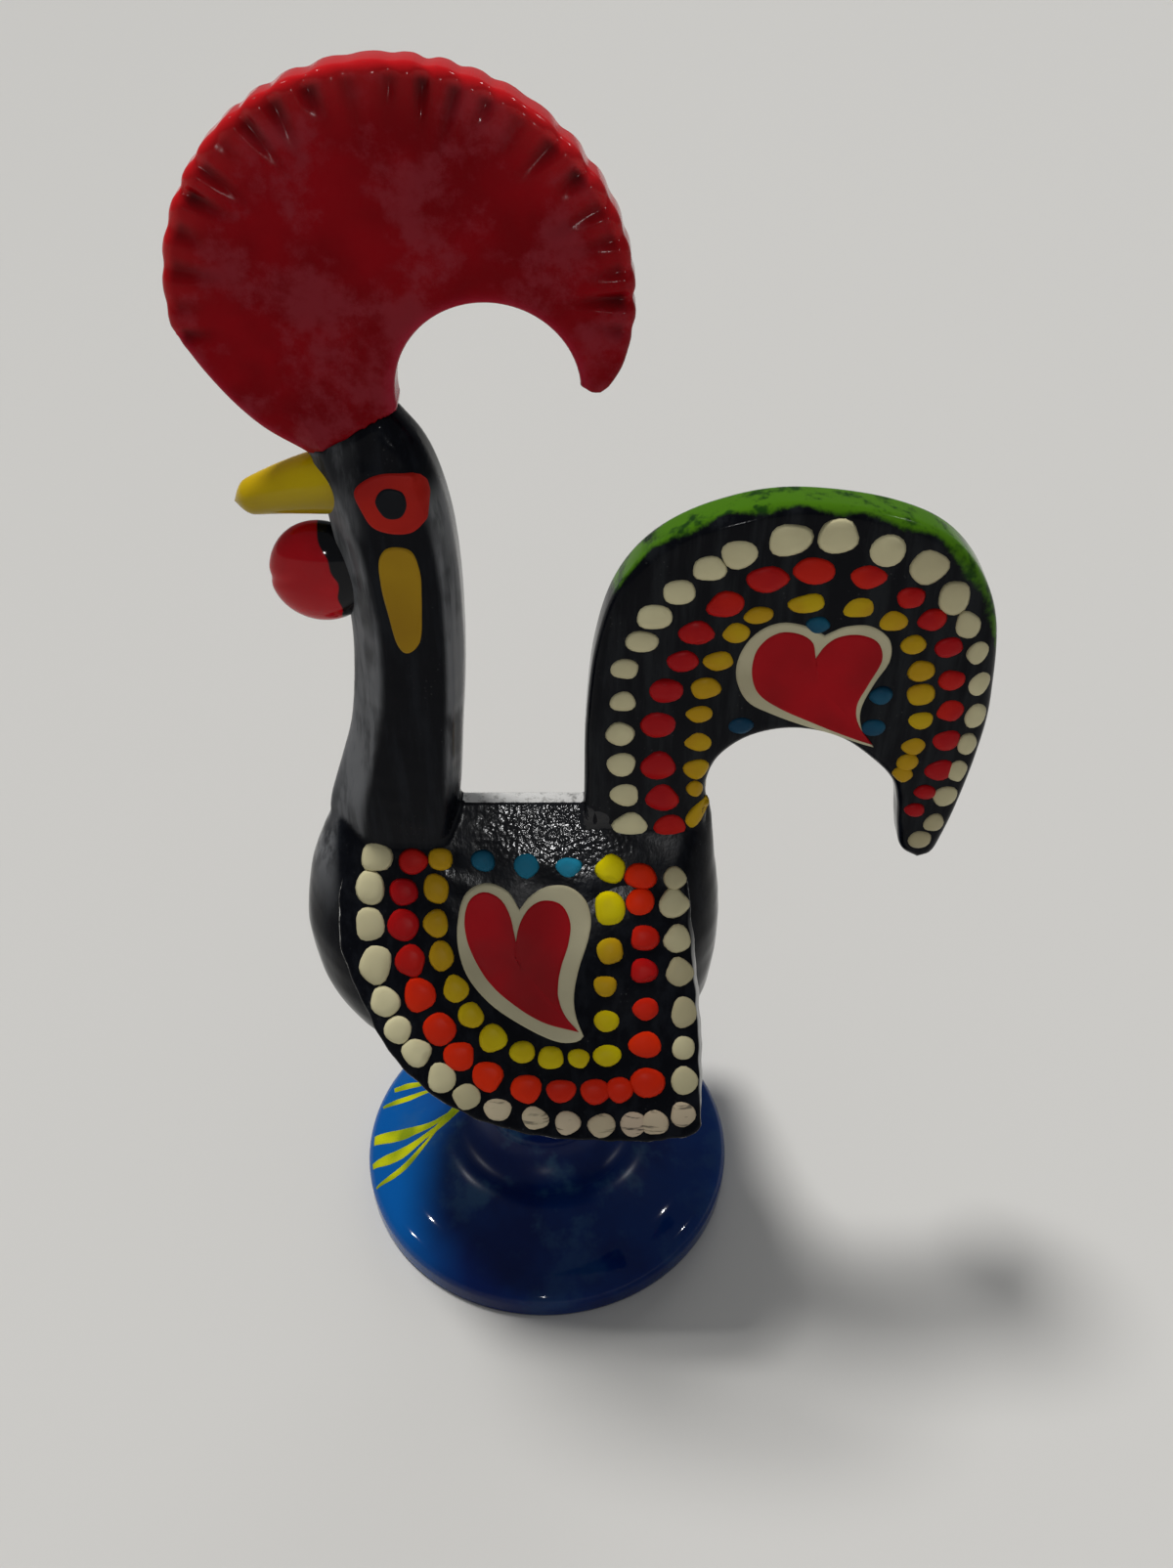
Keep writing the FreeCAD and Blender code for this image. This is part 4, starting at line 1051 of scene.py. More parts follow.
def wing_surface(side):
    """Outer face, rounded edge, wall, rounded edge, inner face. The face dips under the flank near the
    top, where enamel bridges the joint on the real bird, and it is gently wavy."""
    outer = fan_rows(wing_outline, WING_MIDDLE, FACE_DEPTHS)
    inner = outer[::-1]
    depth = np.array(FACE_DEPTHS)[:, None]
    drop = WING_EDGE * (1 - rounded(depth, WING_EDGE))
    bridge = 0.30 * (1 - fade(outer[..., 1], 6.2, 15.0))
    outer_height = -drop - bridge + 0.05 * waves(level(outer), 21 + side, 9.0) * fade(depth, 0.3, 2.0)
    inner_height = -WING_THICKNESS + drop[::-1] * 0.8 + 0 * inner[..., 0]
    flat = np.concatenate([outer, inner])
    height = np.concatenate([outer_height, inner_height])
    edge = np.concatenate([depth + 0 * outer[..., 0], 0.25 + depth[::-1] + 0 * inner[..., 0]])
    edge = edge + 3.0 * (1 - fade(flat[..., 1], 7.0, 9.0))
    back_line = 17.1 + (flat[..., 1] - 6.3) * 0.085
    at_back = fade(flat[..., 0] - back_line, -0.55, -0.2) * fade(flat[..., 1], 12, 24)
    shine = at_back * (1 - fade(edge, 0.28, 0.5)) * (1 - fade(-height, 0.9, 1.5))
    return on_wing(side)(flat, height), {"edge": edge, "shine": shine}


for word, side in SIDES.items():
    wing_mesh = mesh_of("wing_plate_" + word, *wing_surface(side))
    add_piece(wing_mesh, "wing", wing_paint, replaces=["wing_" + word])

# %% [markdown]
# ## Tail
# The tail is an arch that droops to a blunt tip. It is the same kind of horn sheet as the comb, from its
# outer edge to its inner edge, and both edges are rounded.

# %% Tail sheet
TAIL_HALF = 2.5
TAIL_EDGE = 1.35
tail_outer = smooth_path([
    (5.5, 63.0), (5.4, 67.7), (5.45, 73.6), (5.6, 82.4), (6.5, 92.1), (8.6, 99.7),
    (12.5, 105.0), (18.5, 108.4), (26.1, 109.9), (36.1, 108.5), (43.0, 104.8), (47.55, 97.2),
    (49.1, 86.2), (48.95, 78.8), (48.0, 71.0), (47.0, 65.8), (46.2, 63.3), (44.5, 62.4),
], 460)
tail_inner = smooth_path([
    (19.4, 63.0), (19.5, 67.5), (19.4, 70.8), (19.2, 74.2), (20.5, 78.0), (23.8, 80.9), (28.4, 81.9),
    (33.4, 80.6), (37.6, 77.3), (40.1, 74.3), (41.1, 71.1), (41.7, 67.0), (42.5, 63.9), (44.5, 62.4),
], 460)
tail_flat = horn_sheet(tail_outer, tail_inner, 54)[0]
tail_edge_path = np.vstack([tail_outer[::2], tail_inner[::-2]])


def tail_face(depth):
    """Half the plate's thickness at a depth inside the outline: full, less a quarter circle at the edge."""
    return TAIL_HALF - TAIL_EDGE * (1 - rounded(depth, TAIL_EDGE))


tail_depth = distance_to(tail_flat, tail_edge_path)
tail_half = tail_face(tail_depth)
tail_half += hilly(tail_flat, tail_half, (0.06, 31, 9.0), (0.02, 32, 3.5)) * fade(tail_depth, 0.2, 1.6)
print("tail sheet", tail_flat.shape)

# %% [markdown]
# The value `rim_paint` says how far a point lies inside the band of green paint along the top edge. Its
# width is the allowed way over the edge, less the way to the point. The material frays the band with
# noise, as a dry brush does.

# %% Tail plate
x, z = np.moveaxis(tail_flat, -1, 0)
left_end = fade(z, 93.5, 101.5)
band = np.where(x > 30, fade(z, 83.0, 97.0), left_end)
allowed = -1.6 + (3.5 + 0.045 * (x - 12)) * band + 0.45 * np.sin(x * 0.9) * band
over_edge = np.abs(tail_half) + distance_to(tail_flat, tail_outer[::2])
tail_values = {"rim_paint": on_both_faces(allowed - over_edge)}
tail_mesh = mesh_of("tail_plate", two_faced(tail_flat, tail_half), tail_values)
add_piece(tail_mesh, "tail", tail_paint, replaces=["tail"])

# %% [markdown]
# ## Foot
# The foot is turned: one outline carried round the vertical. Its rim is rounded, its top rises in a low
# crown to a column, and below it is hollow. Only the upper side gets the low hills of thick enamel.

# %% Foot disc
foot_top = np.array([
    (25.8, 1.2), (25.8, 2.6), (25.45, 3.5), (24.7, 4.15), (23.4, 4.6), (21.0, 5.3), (18.5, 6.5),
    (16.2, 7.75), (14.3, 8.7), (11.6, 9.4), (9.7, 11.0), (8.5, 13.2), (8.0, 15.5), (8.0, 29.0),
])
foot_under = np.array([
    (2.1, 29.0), (2.1, 7.0), (5.2, 7.0), (5.2, 1.6), (22.2, 1.6), (22.6, 1.2),
    (22.6, 0.15), (22.8, 0.0), (25.5, 0.0), (25.75, 0.15), (25.8, 0.5),
])
foot_outline = smooth_path(foot_top, 110)
foot_outline[:, 0] = np.minimum(foot_outline[:, 0], foot_top[:, 0].max())


def foot_height(radius):
    """The height of the foot's top at a distance from its axis."""
    order = np.argsort(foot_outline[:, 0])
    return np.interp(radius, foot_outline[order, 0], foot_outline[order, 1])


foot_rows = turned(np.vstack([foot_outline, foot_under, foot_outline[:1]]), 180)
lift = 0.06 * waves(foot_rows, 41, 16.0) * fade(foot_rows[..., 2], 2.0, 4.5)
foot_rows[: len(foot_outline), :, 2] += lift[: len(foot_outline)]
print("foot grid", foot_rows.shape)

# %% [markdown]
# The blue is deepest in the middle, as painted shadow of the bird, and painted light makes it brighter to
# the right, and brighter and greener to the left. Milky clouds of painted reflection lie over it, most of
# all by the column. The enamel is almost like glass, and only close to the column is it duller.

# %% Foot enamel
def foot_enamel():
    """Blues by clouds, painted shadow in the middle and painted light by the place to the left and the
    right, then a milky noise of painted reflection that is strongest by the column. A length here is in
    metres, as the place on the object is."""
    paint = Paint("blue_enamel_foot", specular=0.16)
    skin = paint.effect(skin_group, Peel=0.1, Runs=0.8, Brush_Marks=0.05)
    across = paint.node("ShaderNodeSeparateXYZ", Vector=paint.place).outputs[0]
    bend = paint.times(paint.noise(60.0, 3.0), 0.012)
    # Painted light: brighter to the left and to the right of the middle.
    left = paint.stretch(paint.add(across, bend), -0.004, -0.017)
    right = paint.stretch(paint.less(across, bend), 0.008, 0.022)
    near_column = paint.stretch(paint.length(paint.place), 0.0225, 0.014)
    # Painted reflection: milky clouds, strongest by the column.
    milky_reflection = paint.stretch(paint.noise(130.0, 4.0, 0.6), 0.52, 0.70)
    milky_reflection = paint.times(milky_reflection, paint.range(near_column, 0.25, 1.0))
    # The deep blue of the middle is painted shadow of the bird.
    colour = paint.mix(skin["Cloud"], (0.0012, 0.0100, 0.078), (0.0018, 0.0200, 0.115))
    colour = paint.mix(paint.range(right, 0.0, 0.75), colour, (0.0020, 0.0400, 0.210))
    colour = paint.mix(left, colour, (0.0006, 0.0800, 0.310))
    colour = paint.mix(paint.range(milky_reflection, 0.0, 0.70), colour, (0.036, 0.105, 0.190))
    return paint.finish(colour, paint.range(near_column, 0.055, 0.30), skin["Height"], 0.03)


add_piece(mesh_of("foot_disc", foot_rows), "foot", foot_enamel(), replaces=["foot"])

# %% [markdown]
# ## Paint dots
# The dots are drops of thick paint, set in rows with the butt of a brush. Their places were read
# from two enlarged parts of the photograph. A window gives an enlarged part's left and top in the
# photograph and its zoom. The camera carries each mark on to the plate it was painted on.

# %% Marks on to plates
SHOWN = 0.935
FLANK_POINT = np.array([0.0, -RIDGE_HALF, RIDGE])
FLANK_OUT = np.array([0.0, -math.cos(FLARE), math.sin(FLARE)])
TAIL_POINT = np.array([0.0, -TAIL_HALF, 0.0])
TAIL_OUT = np.array([0.0, -1.0, 0.0])


def on_flank_sheet(place):
    """A place on the left flank as x and the distance down the slope from the ridge."""
    return np.stack([place[..., 0], (RIDGE - place[..., 2]) / math.cos(FLARE)], axis=-1)


def on_tail_sheet(place):
    """A place on the tail's left face as x and height."""
    return place[..., [0, 2]]


def dots_from(marks, window, point, out, sheet):
    """Turns read marks into flat middles, half sizes, leans and tones: the middle and the two ends of
    the width and the height of a mark are carried on to the plate. The skirt of a dome dives under the
    surface, so a grid is larger than the mark by the share of it that shows."""
    marks = np.asarray(marks, float)
    left, top, zoom = window
    middle, half = marks[:, :2], marks[:, 2:4] / 2 / SHOWN

    def flat(shift):
        return sheet(seen_on(np.array([left, top]) + (middle + half * shift) / zoom, point, out))

    wide = np.linalg.norm(flat((1, 0)) - flat((-1, 0)), axis=1) / 2
    high = np.linalg.norm(flat((0, 1)) - flat((0, -1)), axis=1) / 2
    return flat((0, 0)), wide, high, np.radians(marks[:, 4]), marks[:, 5] / 9


print("the flank's direction:", FLANK_OUT.round(3))

# %% [markdown]
# A dot is a low dome of a few dozen faces with a slightly uneven outline. Rings run from its top to a
# skirt below the surface. No two dots are alike: random draws bend the outline, tilt the top and change
# the height, and they come from one seed for each plate, so the same dots come out every time.

# %% Domes
RINGS = np.array([0.0, 0.5, 0.82, 1.0, 0.0])
RISE = np.array([1.0, 0.9, 0.52, -0.3, -0.3])
DOT_SIDES = 18
DOT_HEIGHT = 0.36


def dome_dots(places, wide, high, lean, rng, place):
    """One grid per dot: rings from the top of the dome to its skirt, closed below. The outline is an
    oval with a few small waves in it, turned by its lean."""
    n = len(places)
    turn = np.linspace(0, 2 * np.pi, DOT_SIDES, endpoint=False)[None]
    wobble = 1 + sum(
        rng.uniform(0.0, size, (n, 1)) * np.cos(k * turn + rng.uniform(0, 6.3, (n, 1)))
        for k, size in ((2, 0.04), (3, 0.07), (4, 0.04), (5, 0.02))
    )
    along = np.cos(turn) * wide[:, None] * wobble
    across = np.sin(turn) * high[:, None] * wobble
    c, s = np.cos(lean)[:, None], np.sin(lean)[:, None]
    rim = np.stack([along * c - across * s, along * s + across * c], axis=-1)
    tilt = 0.12 * rng.normal(size=(n, 1, 1, 2)) * (RINGS < 0.8)[None, :, None, None]
    flat = places[:, None, None] + rim[:, None] * RINGS[None, :, None, None]
    flat = flat + tilt * high[:, None, None, None]
    heights = DOT_HEIGHT * rng.uniform(0.85, 1.15, (n, 1, 1)) * RISE[None, :, None] + 0 * flat[..., 0]
    return place(flat, heights)


def dot_piece(name, slot, groups, view, place, seed, scuffed=None):
    """All the dots of one plate in one piece. groups holds a material and the marks of each colour."""
    rng = np.random.default_rng(seed)
    grids = []
    columns = {"tone": [], "scuff": [], "colour": []}
    for number, (material, marks) in enumerate(groups):
        places, wide, high, lean, tone = dots_from(marks, *view)
        lean = lean + rng.normal(0, 0.12, len(places))
        grids.append(dome_dots(places, wide, high, lean, rng, place))
        columns["tone"].append(tone + rng.normal(0, 0.04, len(places)))
        worn = scuffed(places) if scuffed else np.zeros(len(places))
        columns["scuff"].append(worn * rng.uniform(0.5, 1.0, len(places)))
        columns["colour"].append(np.full(len(places), number))
    grids = np.concatenate(grids)
    spread = np.ones(grids.shape[:3])
    values = {key: np.concatenate(parts)[:, None, None] * spread for key, parts in columns.items()}
    mesh = mesh_from(name, grids, many_grids(len(grids), len(RINGS), DOT_SIDES), values)
    colour = read(mesh.attributes["colour"].data, "value", 1, np.float32)[:, 0]
    firsts = read(mesh.polygons, "loop_start", 1, np.int32)[:, 0]
    corners = read(mesh.loops, "vertex_index", 1, np.int32)[:, 0]
    add_piece(mesh, slot, *(material for material, _ in groups))
    mesh.polygons.foreach_set("material_index", np.round(colour[corners[firsts]]).astype(np.int32))


print("faces of one dome:", (len(RINGS) - 1) * DOT_SIDES)

# %% [markdown]
# The rows on the wing follow its outline at three distances, cream, then red, then yellow, and turn up
# along the back edge. Three teal dots lie over the heart. A mark holds its middle across and down, its
# width and height, its lean in degrees, and a tone from 0 for dull to 9 for bright.

# %% Marks on the wing
WING_WINDOW = (300, 780, 3.409)
wing_dots = [
    (white_paint, [
        (290, 330, 108, 104, 0, 6), (268, 437, 95, 125, 0, 6), (267, 566, 108, 118, 0, 7),
        (287, 704, 115, 138, 10, 8), (320, 835, 104, 104, 0, 9), (365, 933, 95, 98, 0, 9),
        (430, 1012, 105, 98, 0, 8), (518, 1101, 103, 106, 0, 8), (605, 1165, 100, 92, 0, 6),
        (713, 1210, 100, 80, 0, 7), (843, 1240, 100, 80, 0, 6), (956, 1257, 90, 84, 0, 6),
        (1076, 1267, 98, 82, 0, 4), (1186, 1262, 92, 88, 0, 2), (1261, 1257, 98, 86, 0, 3),
        (1359, 1228, 90, 86, 0, 3), (1364, 1110, 95, 98, 0, 7), (1361, 996, 78, 86, 0, 8),
        (1362, 872, 90, 110, 0, 4), (1348, 732, 95, 100, 0, 3), (1340, 616, 95, 96, 0, 6),
        (1326, 493, 104, 98, 0, 7), (1330, 404, 76, 80, 0, 2),
    ]),
    (red_paint, [
        (418, 346, 97, 90, 0, 2), (385, 452, 97, 95, 0, 1), (383, 568, 112, 112, 0, 2),
        (408, 691, 107, 112, 0, 3), (441, 811, 112, 122, 0, 7), (510, 930, 115, 120, 0, 8),
        (578, 1025, 110, 106, 0, 9), (677, 1095, 110, 108, 0, 9), (813, 1139, 108, 106, 0, 8),
        (934, 1145, 108, 84, 0, 6), (1053, 1148, 106, 90, 0, 6), (1138, 1142, 92, 92, 0, 7),
        (1236, 1117, 120, 106, 0, 8), (1227, 984, 115, 96, 0, 7), (1229, 860, 95, 80, 0, 4),
        (1223, 728, 96, 84, 0, 2), (1226, 612, 100, 92, 0, 4), (1210, 487, 100, 96, 0, 9),
        (1211, 398, 110, 88, 0, 7),
    ]),
    (yellow_paint, [
        (513, 337, 86, 80, 0, 0), (498, 440, 88, 104, 0, 0), (498, 562, 88, 98, 0, 1),
        (516, 675, 88, 106, 0, 1), (567, 790, 90, 98, 0, 4), (619, 882, 90, 92, 0, 5),
        (696, 962, 98, 100, 0, 6), (799, 1010, 90, 80, 0, 6), (898, 1030, 92, 84, 0, 6),
        (995, 1032, 80, 66, 0, 7), (1095, 1022, 98, 78, 0, 8), (1093, 902, 88, 78, 0, 6),
        (1088, 780, 82, 74, 0, 0), (1104, 657, 96, 94, 0, 2), (1105, 511, 110, 118, 0, 8),
        (1108, 372, 100, 98, 0, 9),
    ]),
    (blue_paint, [(662, 343, 82, 74, 20, 1), (813, 360, 88, 82, 0, 3), (960, 365, 88, 66, 0, 9)]),
]
print("dots on a wing:", sum(len(marks) for _, marks in wing_dots))

# %% [markdown]
# On the tail the same three rows follow the arch, and four teal dots lie round the heart. The rows come
# closer together towards the drooping tip, and the dots get smaller and duller there.

# %% Marks on the tail
TAIL_WINDOW = (590, 480, 3.564)
tail_dots = [
    (white_paint, [
        (195, 1300, 130, 88, -15, 7), (175, 1188, 110, 82, -12, 7), (162, 1078, 110, 84, -10, 7),
        (158, 968, 102, 84, 0, 7), (168, 849, 96, 72, 0, 7), (174, 730, 102, 74, 0, 7),
        (238, 631, 122, 76, 0, 7), (284, 540, 134, 94, 0, 8), (373, 450, 124, 92, 0, 8),
        (485, 364, 124, 92, 0, 8), (593, 310, 140, 108, -10, 7), (777, 260, 158, 120, 0, 6),
        (955, 248, 148, 126, 0, 6), (1135, 298, 132, 124, 0, 6), (1285, 358, 142, 124, 0, 5),
        (1378, 472, 114, 122, 0, 4), (1427, 570, 92, 98, 0, 4), (1462, 670, 80, 84, 0, 5),
        (1468, 782, 78, 92, 0, 6), (1455, 900, 82, 86, 0, 6), (1424, 1004, 72, 76, 0, 6),
        (1387, 1100, 76, 74, 0, 6), (1344, 1193, 90, 72, 0, 5), (1302, 1290, 74, 64, 0, 2),
        (1250, 1350, 86, 64, 0, 1),
    ]),
    (red_paint, [
        (341, 1307, 122, 92, 28, 1), (311, 1200, 120, 98, 24, 1), (297, 1083, 128, 102, 8, 1),
        (298, 933, 132, 94, 0, 1), (326, 809, 130, 88, 0, 1), (387, 702, 116, 78, 0, 1),
        (437, 598, 134, 84, 0, 2), (544, 496, 142, 90, 8, 2), (696, 403, 154, 94, 0, 2),
        (868, 373, 156, 98, 0, 2), (1064, 393, 134, 90, 0, 2), (1218, 470, 106, 78, 8, 1),
        (1297, 551, 104, 80, 8, 1), (1357, 651, 102, 74, 10, 1), (1368, 770, 102, 72, 12, 1),
        (1363, 881, 102, 76, 14, 1), (1347, 989, 102, 76, 10, 1), (1322, 1098, 106, 74, 12, 1),
        (1270, 1178, 86, 48, 0, 1), (1232, 1243, 76, 48, 0, 1),
    ]),
    (yellow_paint, [
        (438, 1258, 64, 106, -18, 0), (431, 1166, 62, 58, 0, 0), (437, 1094, 96, 72, 12, 0),
        (444, 995, 102, 68, 0, 1), (447, 893, 102, 62, 0, 1), (470, 800, 114, 76, 0, 1),
        (517, 700, 110, 72, 8, 1), (582, 598, 106, 72, 0, 1), (663, 534, 110, 62, 10, 1),
        (840, 491, 136, 70, -6, 1), (1030, 505, 116, 78, 0, 1), (1155, 555, 106, 76, 0, 1),
        (1228, 641, 94, 70, 0, 1), (1257, 738, 98, 76, 0, 0), (1255, 823, 104, 80, 0, 0),
        (1254, 916, 96, 64, 0, 0), (1228, 1010, 90, 64, 0, 0), (1206, 1068, 84, 60, 0, 0),
        (1188, 1112, 72, 62, 30, 0),
    ]),
    (blue_paint, [
        (880, 569, 88, 58, 0, 1), (1110, 827, 86, 62, 0, 1), (1082, 943, 92, 60, 0, 0),
        (598, 936, 92, 58, 10, 0),
    ]),
]
print("dots on a face of the tail:", sum(len(marks) for _, marks in tail_dots))

# %% [markdown]
# Each plate gets its dots in one piece, and the far side is the mirror image with its own random draws.
# The bottom row of the wing is scuffed, because the bird has been slid along shelves.

# %% Dots on wings and tail
def low_on_wing(places):
    """How rubbed a dot is: full for the bottom row."""
    return fade(places[:, 1], 36.0, 38.5)


def on_tail(side):
    """Turns (x, height on the plate) and a height over the tail's face into a place on the bird. The
    face falls away at its rounded outline."""
    def place(flat, height):
        face = tail_face(distance_to(flat, tail_edge_path[::4])) - 0.03
        return upright(flat, side * (face + height))
    return place


wing_view = (WING_WINDOW, FLANK_POINT, FLANK_OUT, on_flank_sheet)
tail_view = (TAIL_WINDOW, TAIL_POINT, TAIL_OUT, on_tail_sheet)
for word, side in SIDES.items():
    dot_piece("wing_dots_" + word, "wing", wing_dots, wing_view, on_wing(side), 101 + side, low_on_wing)
    dot_piece("tail_dots_" + word, "tail", tail_dots, tail_view, on_tail(side), 202 + side)

# %% [markdown]
# ## Hearts, eyes and teardrops
# These are flat patches of paint with a soft edge. Their outlines are drawn through a few listed
# points, on the wing's plate, on the tail and on the side of the head. A heart is two curves that meet at
# its notch and at its tip, and a smaller red heart lies on a pale one.

# %% Outlines of the patches
wing_heart_rim = outline_of([
    (-2.1, 12.9), (-3.5, 10.7), (-6.0, 9.8), (-8.3, 11.0), (-9.3, 14.0), (-9.4, 17.5),
    (-8.3, 21.2), (-5.6, 24.6), (-1.6, 27.4), (2.2, 29.2), (4.6, 29.2), (5.4, 28.5),
], [
    (5.4, 28.5), (4.5, 26.0), (4.3, 23.4), (4.9, 20.2), (6.0, 16.6), (6.3, 14.0),
    (5.5, 11.7), (3.6, 10.2), (1.2, 10.2), (-0.8, 11.3), (-2.1, 12.9),
])
wing_heart = outline_of([
    (-2.8, 18.5), (-2.95, 14.6), (-4.2, 11.7), (-6.4, 10.7), (-8.1, 12.0), (-8.6, 14.8),
    (-7.9, 18.0), (-6.0, 21.6), (-3.2, 24.4), (0.6, 26.8), (4.9, 28.0),
], [
    (4.9, 28.0), (3.3, 26.0), (2.5, 23.6), (2.7, 20.6), (3.7, 17.0), (3.9, 14.4),
    (2.9, 12.3), (0.9, 11.7), (-0.9, 12.6), (-2.2, 14.9), (-2.8, 18.5),
])
tail_heart_rim = outline_of([
    (30.2, 94.9), (28.3, 96.0), (25.6, 96.5), (23.1, 95.2), (21.6, 92.6), (21.4, 89.4),
    (22.8, 86.2), (25.6, 84.4), (29.6, 82.6), (33.6, 81.0), (37.2, 79.8),
], [
    (37.2, 79.8), (35.6, 82.4), (35.2, 85.2), (36.2, 88.6), (37.4, 91.6),
    (37.0, 94.4), (34.9, 96.1), (32.4, 96.1), (30.2, 94.9),
])
tail_heart = outline_of([
    (29.5, 92.1), (29.0, 94.2), (27.4, 95.3), (25.2, 95.3), (23.4, 93.5), (22.9, 90.4),
    (23.8, 87.4), (26.4, 85.2), (30.4, 83.1), (34.0, 81.4), (37.0, 80.2),
], [
    (37.0, 80.2), (35.2, 83.0), (34.7, 85.6), (35.6, 88.6), (36.6, 91.8),
    (35.9, 94.1), (34.0, 95.1), (31.8, 94.9), (30.4, 93.8), (29.5, 92.1),
])
eye_ring = smooth_path([
    (-16.3, 112.4), (-15.3, 113.5), (-13.4, 114.2), (-11.0, 114.2), (-9.5, 113.7), (-9.0, 112.0),
    (-9.4, 109.8), (-10.8, 108.2), (-12.8, 107.9), (-14.8, 108.6), (-15.8, 110.4),
], 90, closed=True)
eye_pupil = smooth_path([
    (-14.4, 111.3), (-13.8, 112.6), (-12.7, 112.9), (-11.5, 112.4), (-11.2, 111.0),
    (-12.0, 109.7), (-13.5, 109.7),
], 60, closed=True)
cheek_drop = smooth_path([
    (-14.6, 104.8), (-13.8, 106.4), (-12.2, 106.6), (-11.0, 105.8), (-10.5, 103.0), (-10.7, 99.0),
    (-11.2, 95.3), (-12.6, 93.8), (-13.6, 95.0), (-14.2, 98.6), (-14.6, 101.6),
], 90, closed=True)
print("points of the wing heart's outline:", len(wing_heart))

# %% [markdown]
# A patch is a fan from a middle point to its outline. It stands one or two tenths of a millimetre proud,
# falls off at its edge, and is closed below the surface. Where one colour is laid over another, the
# second patch is lifted by most of the height of the first.

# %% Patches
PATCH_DEPTHS = [60.0, 3.0, 1.6, 0.8, 0.4, 0.18, 0.0]


def on_head(side):
    """Turns (x, height) and a height over the head's side face into a place on the bird."""
    def place(flat, height):
        return upright(flat, side * (neck_side(flat[..., 0], flat[..., 1]) + height))
    return place


def patch(name, slot, material, outline, middle, place, lift, height, seed):
    """A raised patch of paint. Its height is full inside and falls to below the surface at the edge."""
    flat = fan_rows(outline, np.asarray(middle), PATCH_DEPTHS)
    depth = np.array(PATCH_DEPTHS)[:, None]
    top = height * rounded(depth, 0.4) - 0.12 * (1 - rounded(depth, 0.15)) + 0 * flat[..., 0]
    top = top + 0.02 * waves(level(flat), seed, 2.5) * fade(depth, 0.1, 0.8)
    bottom = np.full_like(top, -0.25)
    rows = np.concatenate([place(flat, top + lift), place(flat[::-1], bottom + lift)])
    tones = 0.5 + 0.3 * waves(rows, seed + 5, 9.0)
    add_piece(mesh_of(name, rows, {"tone": tones, "scuff": 0 * tones}), slot, material)


for word, side in SIDES.items():
    wing, tail, head = on_wing(side), on_tail(side), on_head(side)
    patches = [
        ("wing_heart_rim", "wing", heart_rim_paint, wing_heart_rim, (-1.8, 18.5), wing, 0.0, 0.16),
        ("wing_heart", "wing", heart_paint, wing_heart, (-1.9, 20.2), wing, 0.12, 0.12),
        ("tail_heart_rim", "tail", heart_rim_paint, tail_heart_rim, (30.0, 88.8), tail, 0.0, 0.16),
        ("tail_heart", "tail", heart_paint, tail_heart, (30.2, 88.3), tail, 0.12, 0.12),
        ("eye_ring", "body", eye_paint, eye_ring, (-12.6, 111.3), head, 0.0, 0.14),
        ("eye_pupil", "body", pupil_paint, eye_pupil, (-12.7, 111.3), head, 0.10, 0.12),
        ("cheek_drop", "body", drop_paint, cheek_drop, (-12.5, 101.5), head, 0.0, 0.14),
    ]
    for seed, (name, *rest) in enumerate(patches, 51):
        patch(f"{name}_{word}", *rest, seed)

# %% [markdown]
# ## Leaf strokes
# Yellow-green leaves are flicked on the foot with single strokes of a brush: thin where the brush lands,
# full at the rim. A stroke is a path seen from above with a width along it, laid on the foot's top.

# %% Strokes on the foot
def stroke_surface(path, widths, count=44, across=9):
    """Points to both sides of a path: the width along it goes evenly from value to value. The stroke is
    highest on its middle line and sinks under the enamel at its edges."""
    line = smooth_path(path, count)
    slope = np.gradient(line, axis=0)
    side = np.stack([-slope[:, 1], slope[:, 0]], -1) / np.linalg.norm(slope, axis=1)[:, None]
    half = np.interp(np.linspace(0, 1, count), np.linspace(0, 1, len(widths)), widths) / 2
    span = np.linspace(-1, 1, across)
    flat = line[:, None] + side[:, None] * (half[:, None] * span)[..., None]
    ground = foot_height(np.linalg.norm(flat, axis=-1))
    top = np.dstack([flat, ground + 0.16 * (1 - span[None] ** 2) - 0.05])
    low = np.dstack([flat, ground - 0.3])
    return closed_ends(np.concatenate([top, low[:, ::-1]], axis=1))


strokes = [
    # points of the path, then widths along it
    ([(-11.2, 3.9), (-13.0, 1.2), (-15.0, -0.9), (-17.2, -2.4)], (1.7, 1.8, 1.6, 0.6)),
    ([(-13.4, 0.8), (-16.2, -0.4), (-19.2, -0.6), (-22.2, -0.7), (-25.0, -0.8)],
     (0.5, 1.1, 1.6, 2.4, 2.4, 1.8)),
    ([(-14.6, -0.6), (-17.6, -2.3), (-20.2, -3.6), (-22.4, -4.4), (-24.8, -5.0)],
     (0.5, 0.9, 1.3, 2.0, 2.0, 1.0)),
    ([(-15.2, -1.3), (-17.4, -3.5), (-19.5, -5.6), (-21.6, -7.2), (-23.9, -8.5)],
     (0.3, 0.6, 0.9, 1.1, 1.0, 0.4)),
    ([(-17.4, 7.9), (-19.4, 8.2), (-20.8, 8.2), (-22.9, 7.8)], (0.5, 1.3, 1.7, 1.2)),
    ([(-16.6, 6.1), (-18.6, 6.1), (-20.4, 5.8), (-22.4, 5.4), (-24.3, 4.9)], (0.5, 1.2, 1.6, 1.4, 0.7)),
]
stroke_grids = np.stack([stroke_surface(path, widths) for path, widths in strokes])
stroke_tone = 0.5 + 0.5 * waves(stroke_grids.reshape(-1, 3), 61, 4.0)
stroke_values = {"tone": stroke_tone, "scuff": 0 * stroke_tone}
stroke_mesh = mesh_from("leaf_strokes", stroke_grids, many_grids(*stroke_grids.shape[:3]), stroke_values)
add_piece(stroke_mesh, "foot", leaf_paint)

